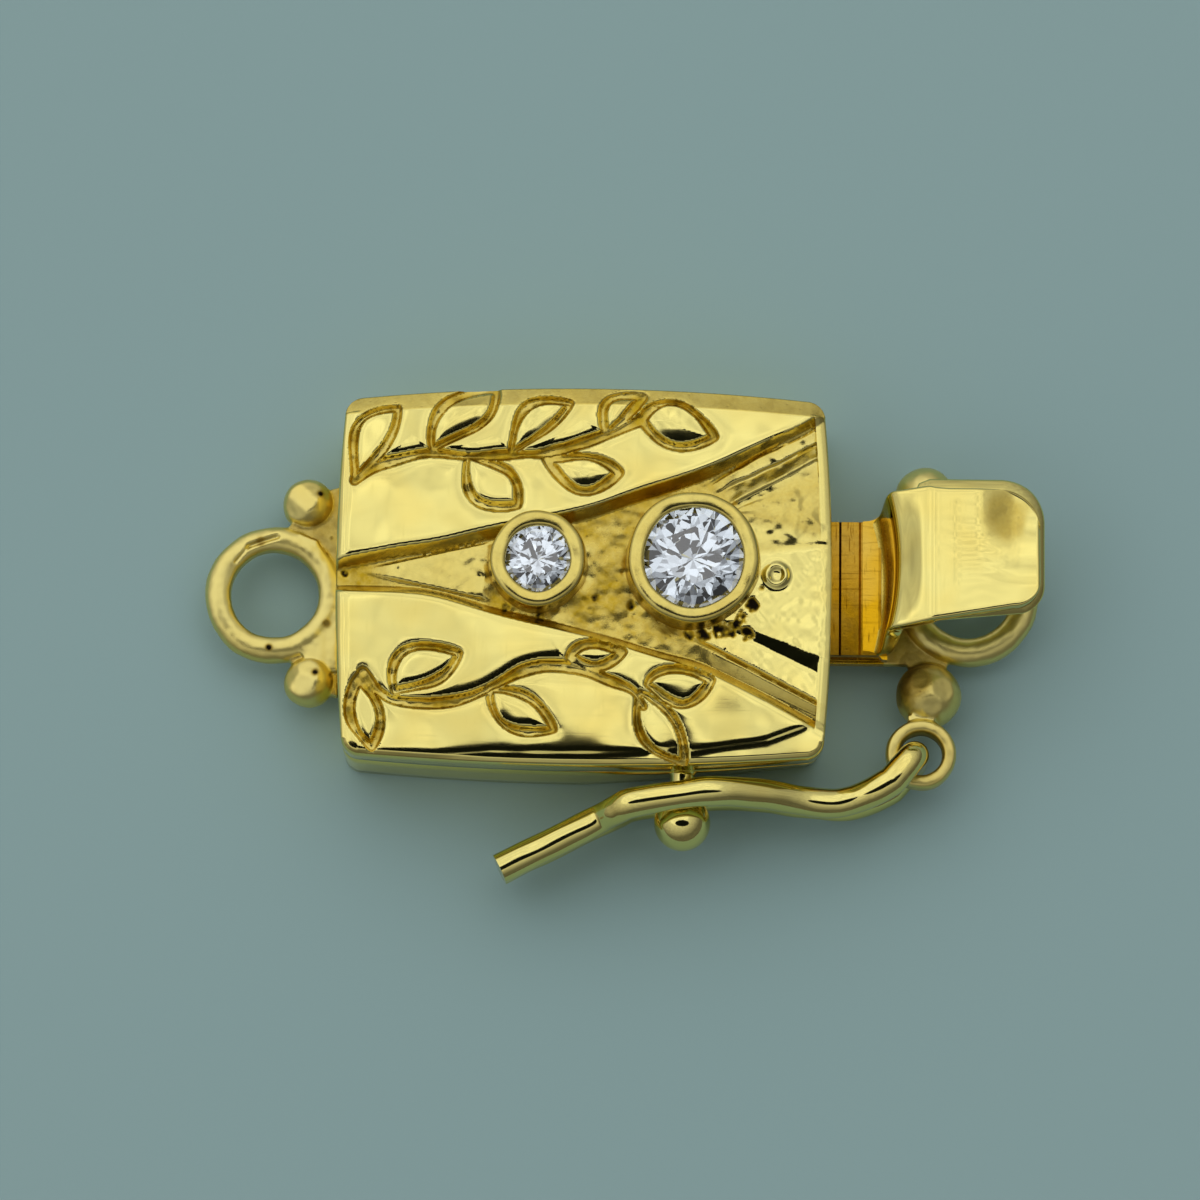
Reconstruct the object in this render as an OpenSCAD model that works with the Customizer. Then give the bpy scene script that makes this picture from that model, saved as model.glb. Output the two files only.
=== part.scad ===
// Gold box clasp: a pillow-shaped case with a cast leaf-pattern cover, a folded tongue
// with a thumb piece, and a wire safety catch that loops over a ball-headed peg.
// The case lies on its flat underside. +X runs from the end ring towards the tongue.

/* [Case] */
// Length of the case
case_l = 14; // [13:0.1:15]
// Width of the case at its middle
case_w = 10.84; // [10.4:0.1:11.4]
// How far each end wall bows out
end_bow = 0.25; // [0.1:0.05:0.4]
// How far each long wall bows out
side_bow = 0.33; // [0.15:0.05:0.45]
// Radius of the upright corners
corner_r = 0.4; // [0.3:0.05:0.8]
// Height of the case below its cover
case_h = 2.5; // [2.4:0.1:3]
// Thickness of the case walls
wall = 0.6; // [0.5:0.05:0.8]
// Thickness of the case floor
floor_t = 0.6; // [0.4:0.05:0.6]
// How far the front wall leans in at its foot, at the tongue end
front_taper = 0.35; // [0:0.05:0.45]

/* [Cover] */
// Height of the cover's edge above the case
edge_h = 0.85; // [0.7:0.05:1]
// Height of the crown's middle above the case
crown_h = 1.3; // [1.25:0.05:1.5]
// Radius of the crowned top
crown_r = 100; // [60:5:200]
// Width of the rounded edge, seen from above
edge_w = 0.45; // [0.2:0.05:0.6]
// Depth of the recessed channel below the panels
channel_d = 0.5; // [0.4:0.05:0.6]
// Depth of the engraved grooves
groove_d = 0.3; // [0.15:0.05:0.35]
// Width of the groove round a leaf
groove_w = 0.26; // [0.15:0.01:0.35]
// Width of the groove along a stem
stem_w = 0.24; // [0.15:0.01:0.35]

/* [Stones] */
// Diameter of the large stone
large_d = 3; // [2.8:0.1:3.2]
// Diameter of the small stone
small_d = 2; // [1.8:0.1:2.2]
// Height of the large bezel above the crown's middle
large_bezel_h = 0.35; // [0.2:0.05:0.5]
// Height of the small bezel above the crown's middle
small_bezel_h = 0.25; // [0.1:0.05:0.4]
// Clear gap between a stone and its seat
stone_gap = 0.02; // [0.01:0.01:0.04]

/* [End rings] */
// Radius of the hole in each end ring
ring_hole_r = 1.25; // [1.1:0.05:1.35]
// Height of the ring's middle above the underside
ring_z = 1; // [0.95:0.05:1.1]
// Distance of the end ring's centre from the case's middle
end_ring_x = 8.8; // [8.7:0.05:9]
// Distance of the tongue ring's centre from the case's middle
tongue_ring_x = 10.9; // [10.8:0.05:11.1]

/* [Tongue] */
// Width of the lower leaf
leaf_w = 4; // [3.6:0.1:4]
// Thickness of the lower leaf
leaf_t = 0.4; // [0.3:0.05:0.45]
// Thickness of the upper leaf
spring_t = 0.35; // [0.25:0.05:0.4]
// How far the tongue reaches inwards past the case's middle
tongue_in = 1; // [0:0.1:2]
// Gap between the tongue and its slot
slot_gap = 0.1; // [0.05:0.05:0.2]

/* [Safety catch] */
// Diameter of the catch wire
wire_d = 0.84; // [0.7:0.02:0.86]
// Radius of the peg's ball
peg_ball_r = 0.8; // [0.6:0.05:0.82]
// Radius of the peg
peg_r = 0.35; // [0.25:0.05:0.4]
// Outer radius of the hinge ring
hinge_out_r = 0.95; // [0.9:0.01:1]
// Radius of the hinge ring's hole
hinge_hole_r = 0.7; // [0.66:0.01:0.72]

/* [Hidden] */

gold = [0.83, 0.68, 0.21];
deep_gold = [0.74, 0.55, 0.16];
clear = [0.9, 0.93, 0.97];

eps = 0.01;
half_l = case_l / 2;
half_w = case_w / 2;
crown_top = case_h + crown_h;

// Positions seen from above
large_at = [3.1, 0.46];
small_at = [-1.28, 0.42];
peg_x = 2.83;
peg_z = 1.78;
peg_ball_y = -6.74;
hinge_at = [9.58, -4.66];

// Outline of the case. The end walls and long walls are shallow bows, the corners are arcs.
side_steps = 6;
corner_steps = 5;
corner_bow = 0.15;
function end_x(y, inset) = half_l - inset - end_bow * pow(y / (half_w - inset), 2);
function side_y(x, inset) = half_w - inset - side_bow * pow(x / (half_l - inset), 2);
function quarter(inset) =
    let (cx = half_l - inset - end_bow - corner_r, cy = half_w - inset - side_bow - corner_r)
    concat(
        [for (i = [0 : side_steps - 1]) let (y = cy * i / side_steps) [end_x(y, inset), y]],
        [for (i = [0 : corner_steps]) let (t = 90 * i / corner_steps)
            [cx + corner_r * cos(t) + corner_bow * end_bow * pow(cos(t), 2),
             cy + corner_r * sin(t) + corner_bow * side_bow * pow(sin(t), 2)]],
        [for (i = [side_steps - 1 : -1 : 0]) let (x = cx * i / side_steps) [x, side_y(x, inset)]]);
function flipped(points, sx, sy) = [for (p = points) [p[0] * sx, p[1] * sy]];
function reversed(points) = [for (i = [len(points) - 1 : -1 : 0]) points[i]];
function outline(inset) =
    let (q = quarter(inset))
    concat(q, reversed(flipped(q, -1, 1)), flipped(q, -1, -1), reversed(flipped(q, 1, -1)));
function leaned(points) =
    [for (p = points) [p[0], p[1] < 0 ? p[1] * (1 - front_taper / half_w * max(0, p[0] / half_l)) : p[1]]];

function arc(c, r, a0, a1, n) = [for (i = [0 : n]) let (a = a0 + (a1 - a0) * i / n) c + r * [cos(a), sin(a)]];

module slab(points, z, h) {
    translate([0, 0, z]) linear_extrude(h) polygon(points);
}

// A shell block between the leaning foot outline and the upper outline
foot_inset = 0.04;
module case_block(inset, z0, z1) {
    hull() {
        slab(leaned(outline(inset + foot_inset)), z0, eps);
        slab(outline(inset), z1 - eps, eps);
    }
}

// Heights of the tongue's parts
leaf_z = floor_t + slot_gap;
neck_top = 2.05;
slot_top = neck_top + slot_gap;
tongue_out = 8.6;

module case() {
    color(gold) difference() {
        case_block(0, 0, case_h);
        case_block(wall, floor_t, case_h + 1);
        translate([half_l - 2 * wall, -leaf_w / 2 - slot_gap, leaf_z - slot_gap])
            cube([3 * wall, leaf_w + 2 * slot_gap, slot_top - leaf_z + slot_gap]);
    }
}

// Borders of the recessed channel, from the end ring towards the tongue: x, y
upper_border = [[-7.4, 0.4], [-5.3, 0.8], [-4.1, 1.0], [-2.4, 1.4], [-0.1, 1.9], [1.6, 2.5], [3.3, 3.1],
                [5, 3.9], [6.2, 4.5], [7.4, 5.4]];
lower_border = [[-7.4, -0.5], [-5.3, -0.55], [-4.1, -0.7], [-2.4, -1.2], [-0.7, -1.6], [0.5, -1.9],
                [2.2, -2.4], [3.3, -2.7], [5, -3.5], [6.5, -4.3], [7.4, -4.8]];

// Leaves. Columns: base x, base y, direction in degrees, length, widest reach to the left,
// widest reach to the right, place of the widest left part and right part along the length
leaves = [
    [-6.5, 2.7, 60, 2.4, 0.75, -0.25, 0.6, 0.6],
    [-4.3, 3.6, 45, 2.5, 0.7, -0.45, 0.45, 0.65],
    [-2.1, 3.5, 41, 2.2, 0.72, -0.15, 0.55, 0.6],
    [0.6, 4.15, 45, 1.45, 0.6, -0.1, 0.45, 0.3],
    [1.6, 4.5, -13, 2.1, 0.7, -0.55, 0.4, 0.5],
    [-3.3, 3.4, -45, 2, 0.5, -0.74, 0.6, 0.5],
    [-1.1, 3.35, -11, 2.1, 0.27, -0.74, 0.6, 0.55],
    [-5.3, -3.35, 31, 2.1, 0.85, -0.34, 0.4, 0.6],
    [-6.3, -2.95, -79, 2, 0.4, -0.44, 0.55, 0.5],
    [-2.6, -3.3, -32, 2.1, 0.38, -0.63, 0.5, 0.45],
    [-0.35, -2.35, 6, 1.45, 0.32, -0.35, 0.4, 0.5],
    [1.6, -3.35, -57, 2.3, 0.41, -0.63, 0.5, 0.5],
    [1.8, -3.1, 4, 1.8, 0.38, -0.64, 0.4, 0.55]];

// Stems, as points along them: x, y
upper_stem = [[-6.5, 2.7], [-5.9, 3.1], [-5.3, 3.3], [-4.4, 3.5], [-3.3, 3.4], [-2.1, 3.45], [-1.1, 3.5],
              [-0.1, 3.8], [0.7, 4.1], [1.6, 4.5]];
lower_stem = [[-6.2, -2.8], [-5.8, -3.3], [-5.3, -3.6], [-4.4, -3.7], [-3.5, -3.6], [-2.7, -3.3],
              [-1.8, -2.8], [-1, -2.6], [-0.1, -2.7], [0.7, -3], [1.4, -3.3], [1.7, -3.75]];

// One side of a leaf: a bow that leaves the base, is widest at peak, and runs out to the tip
leaf_steps = 9;
function bow(t, peak) = pow(sin(180 * pow(t, ln(0.5) / ln(peak))), 0.85);
function leaf_side(leaf, reach, peak) =
    [for (i = [0 : leaf_steps]) let (t = i / leaf_steps, along = t * leaf[3], across = reach * bow(t, peak))
        [leaf[0] + along * cos(leaf[2]) - across * sin(leaf[2]),
         leaf[1] + along * sin(leaf[2]) + across * cos(leaf[2])]];
function inner_only(points) = [for (i = [1 : len(points) - 2]) points[i]];
function leaf_points(leaf) =
    concat(leaf_side(leaf, leaf[5], leaf[7]), reversed(inner_only(leaf_side(leaf, leaf[4], leaf[6]))));

module leaf_groove(leaf) {
    difference() {
        offset(delta = groove_w / 2) polygon(leaf_points(leaf));
        offset(delta = -groove_w / 2) polygon(leaf_points(leaf));
    }
}

module stem_groove(points) {
    for (i = [0 : len(points) - 2]) hull() {
        translate(points[i]) circle(d = stem_w, $fn = 8);
        translate(points[i + 1]) circle(d = stem_w, $fn = 8);
    }
}

// Ball that gives the crowned top, lowered by drop
module crown(drop) {
    translate([0, 0, crown_top - drop - crown_r]) sphere(r = crown_r, $fn = 240);
}

// Ridges on the channel floor. Columns: start x, start y, end x, end y, width
ridge_h = 0.3;
ridges = [
    [-6.6, 0.25, -2.8, 0.85, 0.2],
    [-6.6, -0.2, -2.7, -0.7, 0.2],
    [3.6, 2.6, 6.6, 4.2, 0.4],
    [4.3, 2.1, 6.8, 3.4, 0.3],
    [5, 1.6, 6.85, 2.3, 0.5],
    [5.2, 1, 6.9, 1.3, 0.55],
    [5.6, -0.6, 6.9, -1.1, 1.3],
    [4.5, -1.8, 6.8, -2.7, 0.5],
    [3.4, -2.3, 6.7, -3.6, 0.35]];

// A ridge with a sharp back, wider at its far end
near_back_r = 0.02;
far_back_r = 0.05;
module ridge(row) {
    hull() {
        translate([row[0], row[1], 0]) cylinder(h = crown_h, r1 = row[4] / 2, r2 = near_back_r, $fn = 6);
        translate([row[2], row[3], 0]) cylinder(h = crown_h, r1 = row[4], r2 = far_back_r, $fn = 6);
    }
}

module cover_blank() {
    intersection() {
        hull() {
            slab(outline(0), case_h, edge_h);
            slab(outline(edge_w), case_h, crown_h);
        }
        crown(0);
    }
}

// Everything above the channel floor that isn't a panel
module channel_space() {
    difference() {
        translate([0, 0, case_h]) linear_extrude(2 * crown_h)
            polygon(concat(upper_border, reversed(lower_border)));
        crown(channel_d);
    }
}

// Bezel sizes for a stone of diameter d whose bezel stands up to top
lip = 0.07;
bezel_t = 0.36;
bezel_spread = 0.1;
bezel_foot_z = case_h + 0.3;
girdle_drop = 0.3;
girdle_t = 0.06;
seat_foot = 0.12;
module bezel_wall(at, d, top) {
    top_r = d / 2 + bezel_t;
    translate([at[0], at[1], bezel_foot_z])
        cylinder(h = top - bezel_foot_z, r1 = top_r + bezel_spread, r2 = top_r, $fn = 48);
}
module bezel_hole(at, d, top) {
    girdle_z = top - girdle_drop;
    seat_r = d / 2 + stone_gap;
    translate([at[0], at[1], 0]) {
        translate([0, 0, girdle_z + girdle_t + stone_gap])
            cylinder(h = girdle_drop, r1 = seat_r, r2 = seat_r - 2 * lip, $fn = 48);
        translate([0, 0, girdle_z - stone_gap])
            cylinder(h = girdle_t + 2 * stone_gap + eps, r = seat_r, $fn = 48);
        translate([0, 0, case_h - eps])
            cylinder(h = girdle_z - stone_gap - case_h + 2 * eps, r1 = d * seat_foot, r2 = seat_r, $fn = 48);
    }
}

large_top = crown_top + large_bezel_h;
small_top = crown_top + small_bezel_h;

module cover() {
    color(gold) difference() {
        union() {
            difference() {
                cover_blank();
                channel_space();
                difference() {
                    translate([0, 0, case_h]) linear_extrude(2 * crown_h) {
                        for (leaf = leaves) leaf_groove(leaf);
                        stem_groove(upper_stem);
                        stem_groove(lower_stem);
                    }
                    crown(groove_d);
                }
            }
            intersection() {
                translate([0, 0, case_h]) for (row = ridges) ridge(row);
                crown(channel_d - ridge_h);
                cover_blank();
            }
            bezel_wall(large_at, large_d, large_top);
            bezel_wall(small_at, small_d, small_top);
        }
        bezel_hole(large_at, large_d, large_top);
        bezel_hole(small_at, small_d, small_top);
    }
}

// Round brilliant: a table, crown facets, a girdle and a pavilion. Its proportions are shares of
// the stone's diameter.
table_r = 0.28;
table_h = 0.15;
crown_mid_r = 0.42;
crown_mid_h = 0.075;
pavilion_h = 0.4;
culet_r = 0.02;
module brilliant(at, d, top) {
    color(clear) translate([at[0], at[1], top - girdle_drop]) {
        hull() {
            cylinder(h = girdle_t, r = d / 2, $fn = 16);
            rotate(22.5) cylinder(h = girdle_t + d * table_h, r = d * table_r, $fn = 8);
            cylinder(h = girdle_t + d * crown_mid_h, r = d * crown_mid_r, $fn = 8);
        }
        hull() {
            cylinder(h = eps, r = d / 2, $fn = 16);
            translate([0, 0, -d * pavilion_h]) cylinder(h = eps, r = culet_r, $fn = 8);
        }
    }
}
module large_stone() brilliant(large_at, large_d, large_top);
module small_stone() brilliant(small_at, small_d, small_top);

// A round-wire ring. Its inside is filed flat as far as the hole's radius, which cuts flat_t off
// the wire. The wire's section has wire_steps flats.
wire_steps = 16;
module ring_wire(tube_r, flat_t) {
    mid_r = ring_hole_r - flat_t + tube_r;
    half_turn = 180 - acos((tube_r - flat_t) / tube_r);
    rotate_extrude($fn = 72) polygon(arc([mid_r, 0], tube_r, -half_turn, half_turn, wire_steps));
}

// A flat web between a ring and its neighbours. It ends inside the ring's wire.
web_end = 0.2;
module ring_web(points, z, t, ring_at) {
    difference() {
        slab(points, z, t);
        translate([ring_at[0], ring_at[1], z - t]) cylinder(h = 3 * t, r = ring_hole_r + web_end, $fn = 72);
    }
}

// Casting at the end: a ring, cut off flat at the case wall, two balls and the web that joins them
// to the wall. The balls are turned so that the spheres' seams lie outside the web.
end_y = -0.15;
end_tube_r = 0.39;
web_t = 0.6;
end_ball_r = 0.72;
end_balls = [[-7.88, 2.5], [-7.78, -2.66]];
end_flat_t = 0.06;
end_face_x = -half_l - 0.02;
end_web = [[end_face_x, 3], [-7.6, 2.8], [-8.2, 2.15], [-8.7, 1.35], [-8.7, -1.65], [-8.1, -2.35],
           [-7.55, -2.95], [end_face_x, -3.1]];
module end_ring() {
    color(gold) {
        difference() {
            translate([-end_ring_x, end_y, ring_z]) ring_wire(end_tube_r, end_flat_t);
            translate([end_face_x, -half_w, 0]) cube([wall, case_w, 2 * ring_z]);
        }
        ring_web(end_web, ring_z - web_t / 2, web_t, [-end_ring_x, end_y]);
        for (ball = end_balls) translate([ball[0], ball[1], ring_z]) rotate(180) sphere(r = end_ball_r, $fn = 32);
    }
}

// Casting on the tongue: ring, web and two balls, cut off flat where the hinge ring is soldered on
hinge_cut_y = -3.69;
tongue_tube_r = 0.42;
tongue_flat_t = 0.05;
back_ball = [9.7, 2.86];
back_ball_r = 0.85;
front_ball = [9.8, -2.9];
front_ball_r = 0.93;
tongue_web = [[tongue_out + eps, -2], [9.2, -2], [9.5, -2.7], [10.2, -2.7], [10.4, -1.8], [10.4, 1.8],
              [10.1, 2.6], [9.4, 2.6], [9.1, 2], [tongue_out + eps, 2]];
module tongue_ring() {
    color(gold) {
        translate([tongue_ring_x, 0, ring_z]) ring_wire(tongue_tube_r, tongue_flat_t);
        ring_web(tongue_web, leaf_z, leaf_t, [tongue_ring_x, 0]);
        translate([back_ball[0], back_ball[1], ring_z]) sphere(r = back_ball_r, $fn = 32);
        difference() {
            translate([front_ball[0], front_ball[1], ring_z]) sphere(r = front_ball_r, $fn = 32);
            translate([front_ball[0] - front_ball_r, hinge_cut_y - front_ball_r, 0])
                cube([2 * front_ball_r, front_ball_r, 2 * ring_z]);
        }
    }
}

hinge_z = 0.95;
hinge_t = 0.75;
hinge_neck_w = 0.7;
hinge_neck_t = 0.6;
hinge_neck_z = 0.05;
module hinge_ring() {
    color(gold) translate([hinge_at[0], hinge_at[1], hinge_z]) difference() {
        union() {
            cylinder(h = hinge_t, r = hinge_out_r, $fn = 48);
            translate([-hinge_neck_w / 2, 0, hinge_neck_z])
                cube([hinge_neck_w, hinge_cut_y - hinge_at[1] - 2 * eps, hinge_neck_t]);
        }
        translate([0, 0, -hinge_t]) cylinder(h = 3 * hinge_t, r = hinge_hole_r, $fn = 48);
    }
}

// Lower leaf of the tongue, with the fold that turns it back over itself, drawn in side view: x, z
leaf_gap = 0.03;
fold_z = leaf_z + leaf_t + leaf_gap;
fold_r = (fold_z + spring_t - leaf_z) / 2;
lower_leaf = concat([[tongue_out, leaf_z], [tongue_out, leaf_z + leaf_t], [-tongue_in, leaf_z + leaf_t]],
                    arc([-tongue_in, leaf_z + fold_r], fold_r, 90, 270, 8));
module side_strip(points, width) {
    translate([0, width / 2, 0]) rotate([90, 0, 0]) linear_extrude(width) polygon(points);
}
module tongue_plate() {
    color(deep_gold) side_strip(lower_leaf, leaf_w);
}

// Springy upper leaf in side view, from the fold over the long rise and the catch step to the neck: x, z
leaf_start = -tongue_in + 2 * eps;
neck_end = tongue_out - 0.2;
catch_play = 0.12;
catch_x = half_l - wall - catch_play;
catch_top = 2.44;
catch_land = 0.4;
straight = 0.5;
spring_under = [[leaf_start, fold_z], [leaf_start + straight + 0.1, fold_z],
                [catch_x - catch_land + 0.1, catch_top - spring_t],
                [catch_x - 0.05, neck_top - spring_t], [neck_end, neck_top - spring_t]];
spring_over = [[neck_end, neck_top], [catch_x, neck_top], [catch_x - 0.02, catch_top],
               [catch_x - catch_land, catch_top], [leaf_start + straight, fold_z + spring_t],
               [leaf_start, fold_z + spring_t]];
spring_w = leaf_w - 0.15;
module spring_leaf() {
    color(deep_gold) side_strip(concat(spring_under, spring_over), spring_w);
}

// Thumb piece: a riser that leans and widens from the neck, under a rounded plate set to the back
plate_top = 3.95;
plate_t = 0.55;
rim_t = 0.25;
plate_x = 8.55;
plate_front = -1.35;
plate_back = 2.45;
plate = concat([[plate_x, plate_front], [9.8, -1.2]], arc([12.1, -0.1], 0.75, -80, 0, 6),
               arc([11.7, 1.4], 1.15, 0, 90, 8), [[10, 2.55], [9.7, 2.7], [8.9, 2.6], [plate_x, plate_back]]);
rim = concat([[9.7, -1.15]], arc([12.2, -0.1], 0.8, -75, 0, 6), arc([11.75, 1.5], 1.25, 0, 90, 8),
             [[9.7, 2.75]]);
riser_x = neck_end + 2 * eps;
riser_foot = [0.35, 3.7];
riser_head = 0.5;
riser_in = 0.1;
module thumb_piece() {
    color(gold) {
        slab(plate, plate_top - plate_t, plate_t);
        slab(rim, plate_top - plate_t - rim_t / 2, rim_t);
        hull() {
            translate([riser_x, -riser_foot[1] / 2, neck_top - spring_t])
                cube([riser_foot[0], riser_foot[1], spring_t]);
            translate([plate_x, plate_front, plate_top - plate_t + riser_in])
                cube([riser_head, plate_back - plate_front, eps]);
        }
    }
}

module safety_peg() {
    wall_y = -half_w + 0.06;
    color(gold) translate([peg_x, 0, peg_z]) {
        translate([0, wall_y, 0]) rotate([90, 0, 0])
            cylinder(h = wall_y - peg_ball_y, r = peg_r, $fn = 32);
        translate([0, peg_ball_y, 0]) sphere(r = peg_ball_r, $fn = 32);
    }
}

// Route of the catch wire. Each row is one place along the catch, from its tail to its eye.
// Columns: x, y of the upper strand, middle height, upright distance between the two strands,
// how much further back the lower strand lies
route = [
    [-2.31, -8.16, 1.75, 0.9, 0.1],
    [-1.26, -7.63, 1.75, 0.9, 0.1],
    [-0.11, -7.05, 1.75, 0.9, 0.1],
    [0.55, -6.7, 1.75, 1, 0.1],
    [1.0, -6.52, 1.76, 1.9, 0.18],
    [1.5, -6.36, 1.77, 2.46, 0.28],
    [2.83, -6.13, 1.77, 2.58, 0.3],
    [3.9, -6.02, 1.77, 2.4, 0.28],
    [5.05, -6.01, 1.65, 1.7, 0.2],
    [6.17, -6.1, 1.5, 1, 0.1],
    [7.03, -6.16, 1.4, 0.9, 0.08],
    [7.6, -6.07, 1.35, 1.1, 0.05],
    [8.17, -5.85, 1.33, 1.5, 0.02],
    [8.74, -5.53, 1.325, 1.71, 0]];
route_steps = 3;
wire_sides = 12;
eye_r = 0.45;
eye_steps = 3;
eye_end = hinge_at + [-0.17, -0.1];

function spline_point(a, b, c, d, t) =
    0.5 * (2 * b + (c - a) * t + (2 * a - 5 * b + 4 * c - d) * t * t + (3 * b - a - 3 * c + d) * t * t * t);
function row_at(rows, i) = rows[max(0, min(len(rows) - 1, i))];
function smooth_rows(rows) = concat(
    [for (i = [0 : len(rows) - 2], j = [0 : route_steps - 1])
        spline_point(row_at(rows, i - 1), rows[i], rows[i + 1], row_at(rows, i + 2), j / route_steps)],
    [rows[len(rows) - 1]]);

// The eye: each strand bends through a quarter turn into the hinge ring's hole
last_row = route[len(route) - 1];
eye_dir = (eye_end - [last_row[0], last_row[1]]) / norm(eye_end - [last_row[0], last_row[1]]);
eye_top = last_row[2] + last_row[3] / 2;
eye_low = last_row[2] - last_row[3] / 2;
function eye_point(side, a) =
    let (p = eye_end - eye_dir * eye_r * (1 - sin(a)), drop = eye_r * (1 - cos(a)))
    [p[0], p[1], side > 0 ? eye_top - drop : eye_low + drop];
smooth_route = smooth_rows(route);
upper_strand = [for (r = smooth_route) [r[0], r[1], r[2] + r[3] / 2]];
lower_strand = [for (r = smooth_route) [r[0], r[1] + r[4], r[2] - r[3] / 2]];
upper_eye = [for (i = [0 : eye_steps]) eye_point(1, 90 * i / eye_steps)];
lower_eye = [for (i = [0 : eye_steps]) eye_point(-1, 90 * i / eye_steps)];
wire_path = concat(upper_strand, upper_eye, reversed(lower_eye), reversed(lower_strand));

// Sideways direction of the catch at each point: level, and square to the way it runs in plan
half_count = len(smooth_route);
function level(v) = [v[0], v[1]] / norm([v[0], v[1]]);
function plan_dir(k) =
    let (last = len(wire_path) - 1, i = k < half_count ? k : (k > last - half_count ? last - k : half_count))
    i >= half_count - 1 ? eye_dir : level(wire_path[i + 1] - wire_path[max(0, i - 1)]);
function tangent(k) =
    let (a = wire_path[max(0, k - 1)], b = wire_path[min(len(wire_path) - 1, k + 1)]) (b - a) / norm(b - a);
function wire_ring(k) =
    let (t = tangent(k), d = plan_dir(k), sideways = [-d[1], d[0], 0], n0 = sideways - t * (sideways * t),
         n = n0 / norm(n0), m = cross(t, n))
    [for (j = [0 : wire_sides - 1]) let (a = 360 * j / wire_sides)
        wire_path[k] + wire_d / 2 * (n * cos(a) + m * sin(a))];

module safety_catch() {
    count = len(wire_path);
    points = [for (k = [0 : count - 1]) each wire_ring(k)];
    sides = [for (k = [0 : count - 2], j = [0 : wire_sides - 1])
        [k * wire_sides + j, (k + 1) * wire_sides + j,
         (k + 1) * wire_sides + (j + 1) % wire_sides, k * wire_sides + (j + 1) % wire_sides]];
    first_cap = [for (j = [0 : wire_sides - 1]) j];
    last_cap = [for (j = [wire_sides - 1 : -1 : 0]) (count - 1) * wire_sides + j];
    color(gold) polyhedron(points, concat([first_cap, last_cap], sides));
}

case();
cover();
large_stone();
small_stone();
end_ring();
safety_peg();
tongue_plate();
tongue_ring();
hinge_ring();
spring_leaf();
thumb_piece();
safety_catch();
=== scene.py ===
"""A gold box clasp with an engraved leaf cover, two clear stones and a wire safety catch.

Every shape is worked out in millimetres and scaled to metres when its piece is finished.
+X runs from the end ring towards the tongue, +Y to the back and +Z up.
"""
import math

import bpy
import numpy as np
from mathutils import Matrix, Vector, noise


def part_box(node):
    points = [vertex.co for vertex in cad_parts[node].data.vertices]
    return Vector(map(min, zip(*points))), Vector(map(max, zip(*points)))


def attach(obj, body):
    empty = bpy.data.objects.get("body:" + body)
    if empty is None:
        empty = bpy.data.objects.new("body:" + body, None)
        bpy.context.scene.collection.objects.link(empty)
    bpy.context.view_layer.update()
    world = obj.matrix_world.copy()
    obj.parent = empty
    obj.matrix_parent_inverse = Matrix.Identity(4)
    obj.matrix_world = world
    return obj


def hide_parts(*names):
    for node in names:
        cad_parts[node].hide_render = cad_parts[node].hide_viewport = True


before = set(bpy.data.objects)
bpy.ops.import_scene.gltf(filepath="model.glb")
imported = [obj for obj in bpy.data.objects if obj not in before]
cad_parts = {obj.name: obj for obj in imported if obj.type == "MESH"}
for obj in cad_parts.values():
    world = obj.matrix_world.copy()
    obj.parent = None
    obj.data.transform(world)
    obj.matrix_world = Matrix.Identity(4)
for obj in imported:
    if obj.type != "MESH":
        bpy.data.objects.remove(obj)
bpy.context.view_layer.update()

# ---------------------------------------------------------------- Case
# The case is a shallow tray of yellow gold sheet, folded up and soldered at its corners. Its walls
# bow out a little, the front wall leans in at its foot, and one end is cut through for the tongue.

HALF_L, HALF_W, CASE_H = (float(size) for size in np.array(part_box("case")[1]) * 1000)
END_BOW, SIDE_BOW = 0.25, 0.33
CORNER_R = 0.45
FRONT_LEAN, FOOT_INSET = 0.35, 0.04
WALL, FLOOR_T = 0.6, 0.6
SLOT_HALF_W, SLOT_TOP, SLOT_FLARE = 2.1, 2.15, 0.36
# The rounded edge round the foot of the walls: how far in, and at what height
FOOT_EDGE = [(0.16, 0.0), (0.07, 0.025), (0.02, 0.07), (0.0, 0.15)]

BRIGHT_GOLD = (0.8, 0.7, 0.235)
WARM_GOLD = (0.8, 0.62, 0.15)
# Painted shade: the hollow gold stands for light bounced between gold walls, the pit gold for pits
# and the shade in them, and the black for deep shade.
HOLLOW_SHADE_GOLD = (0.53, 0.35, 0.018)
PIT_GOLD = (0.18, 0.11, 0.02)
BLACK_SHADE = (0.01, 0.007, 0.004)
# Painted light: a brighter, yellower copy of the gold for the tray's walls, which reflect the
# shaded floor beside them.
LIT_WALL_GOLD = (0.95, 0.77, 0.2)


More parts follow.
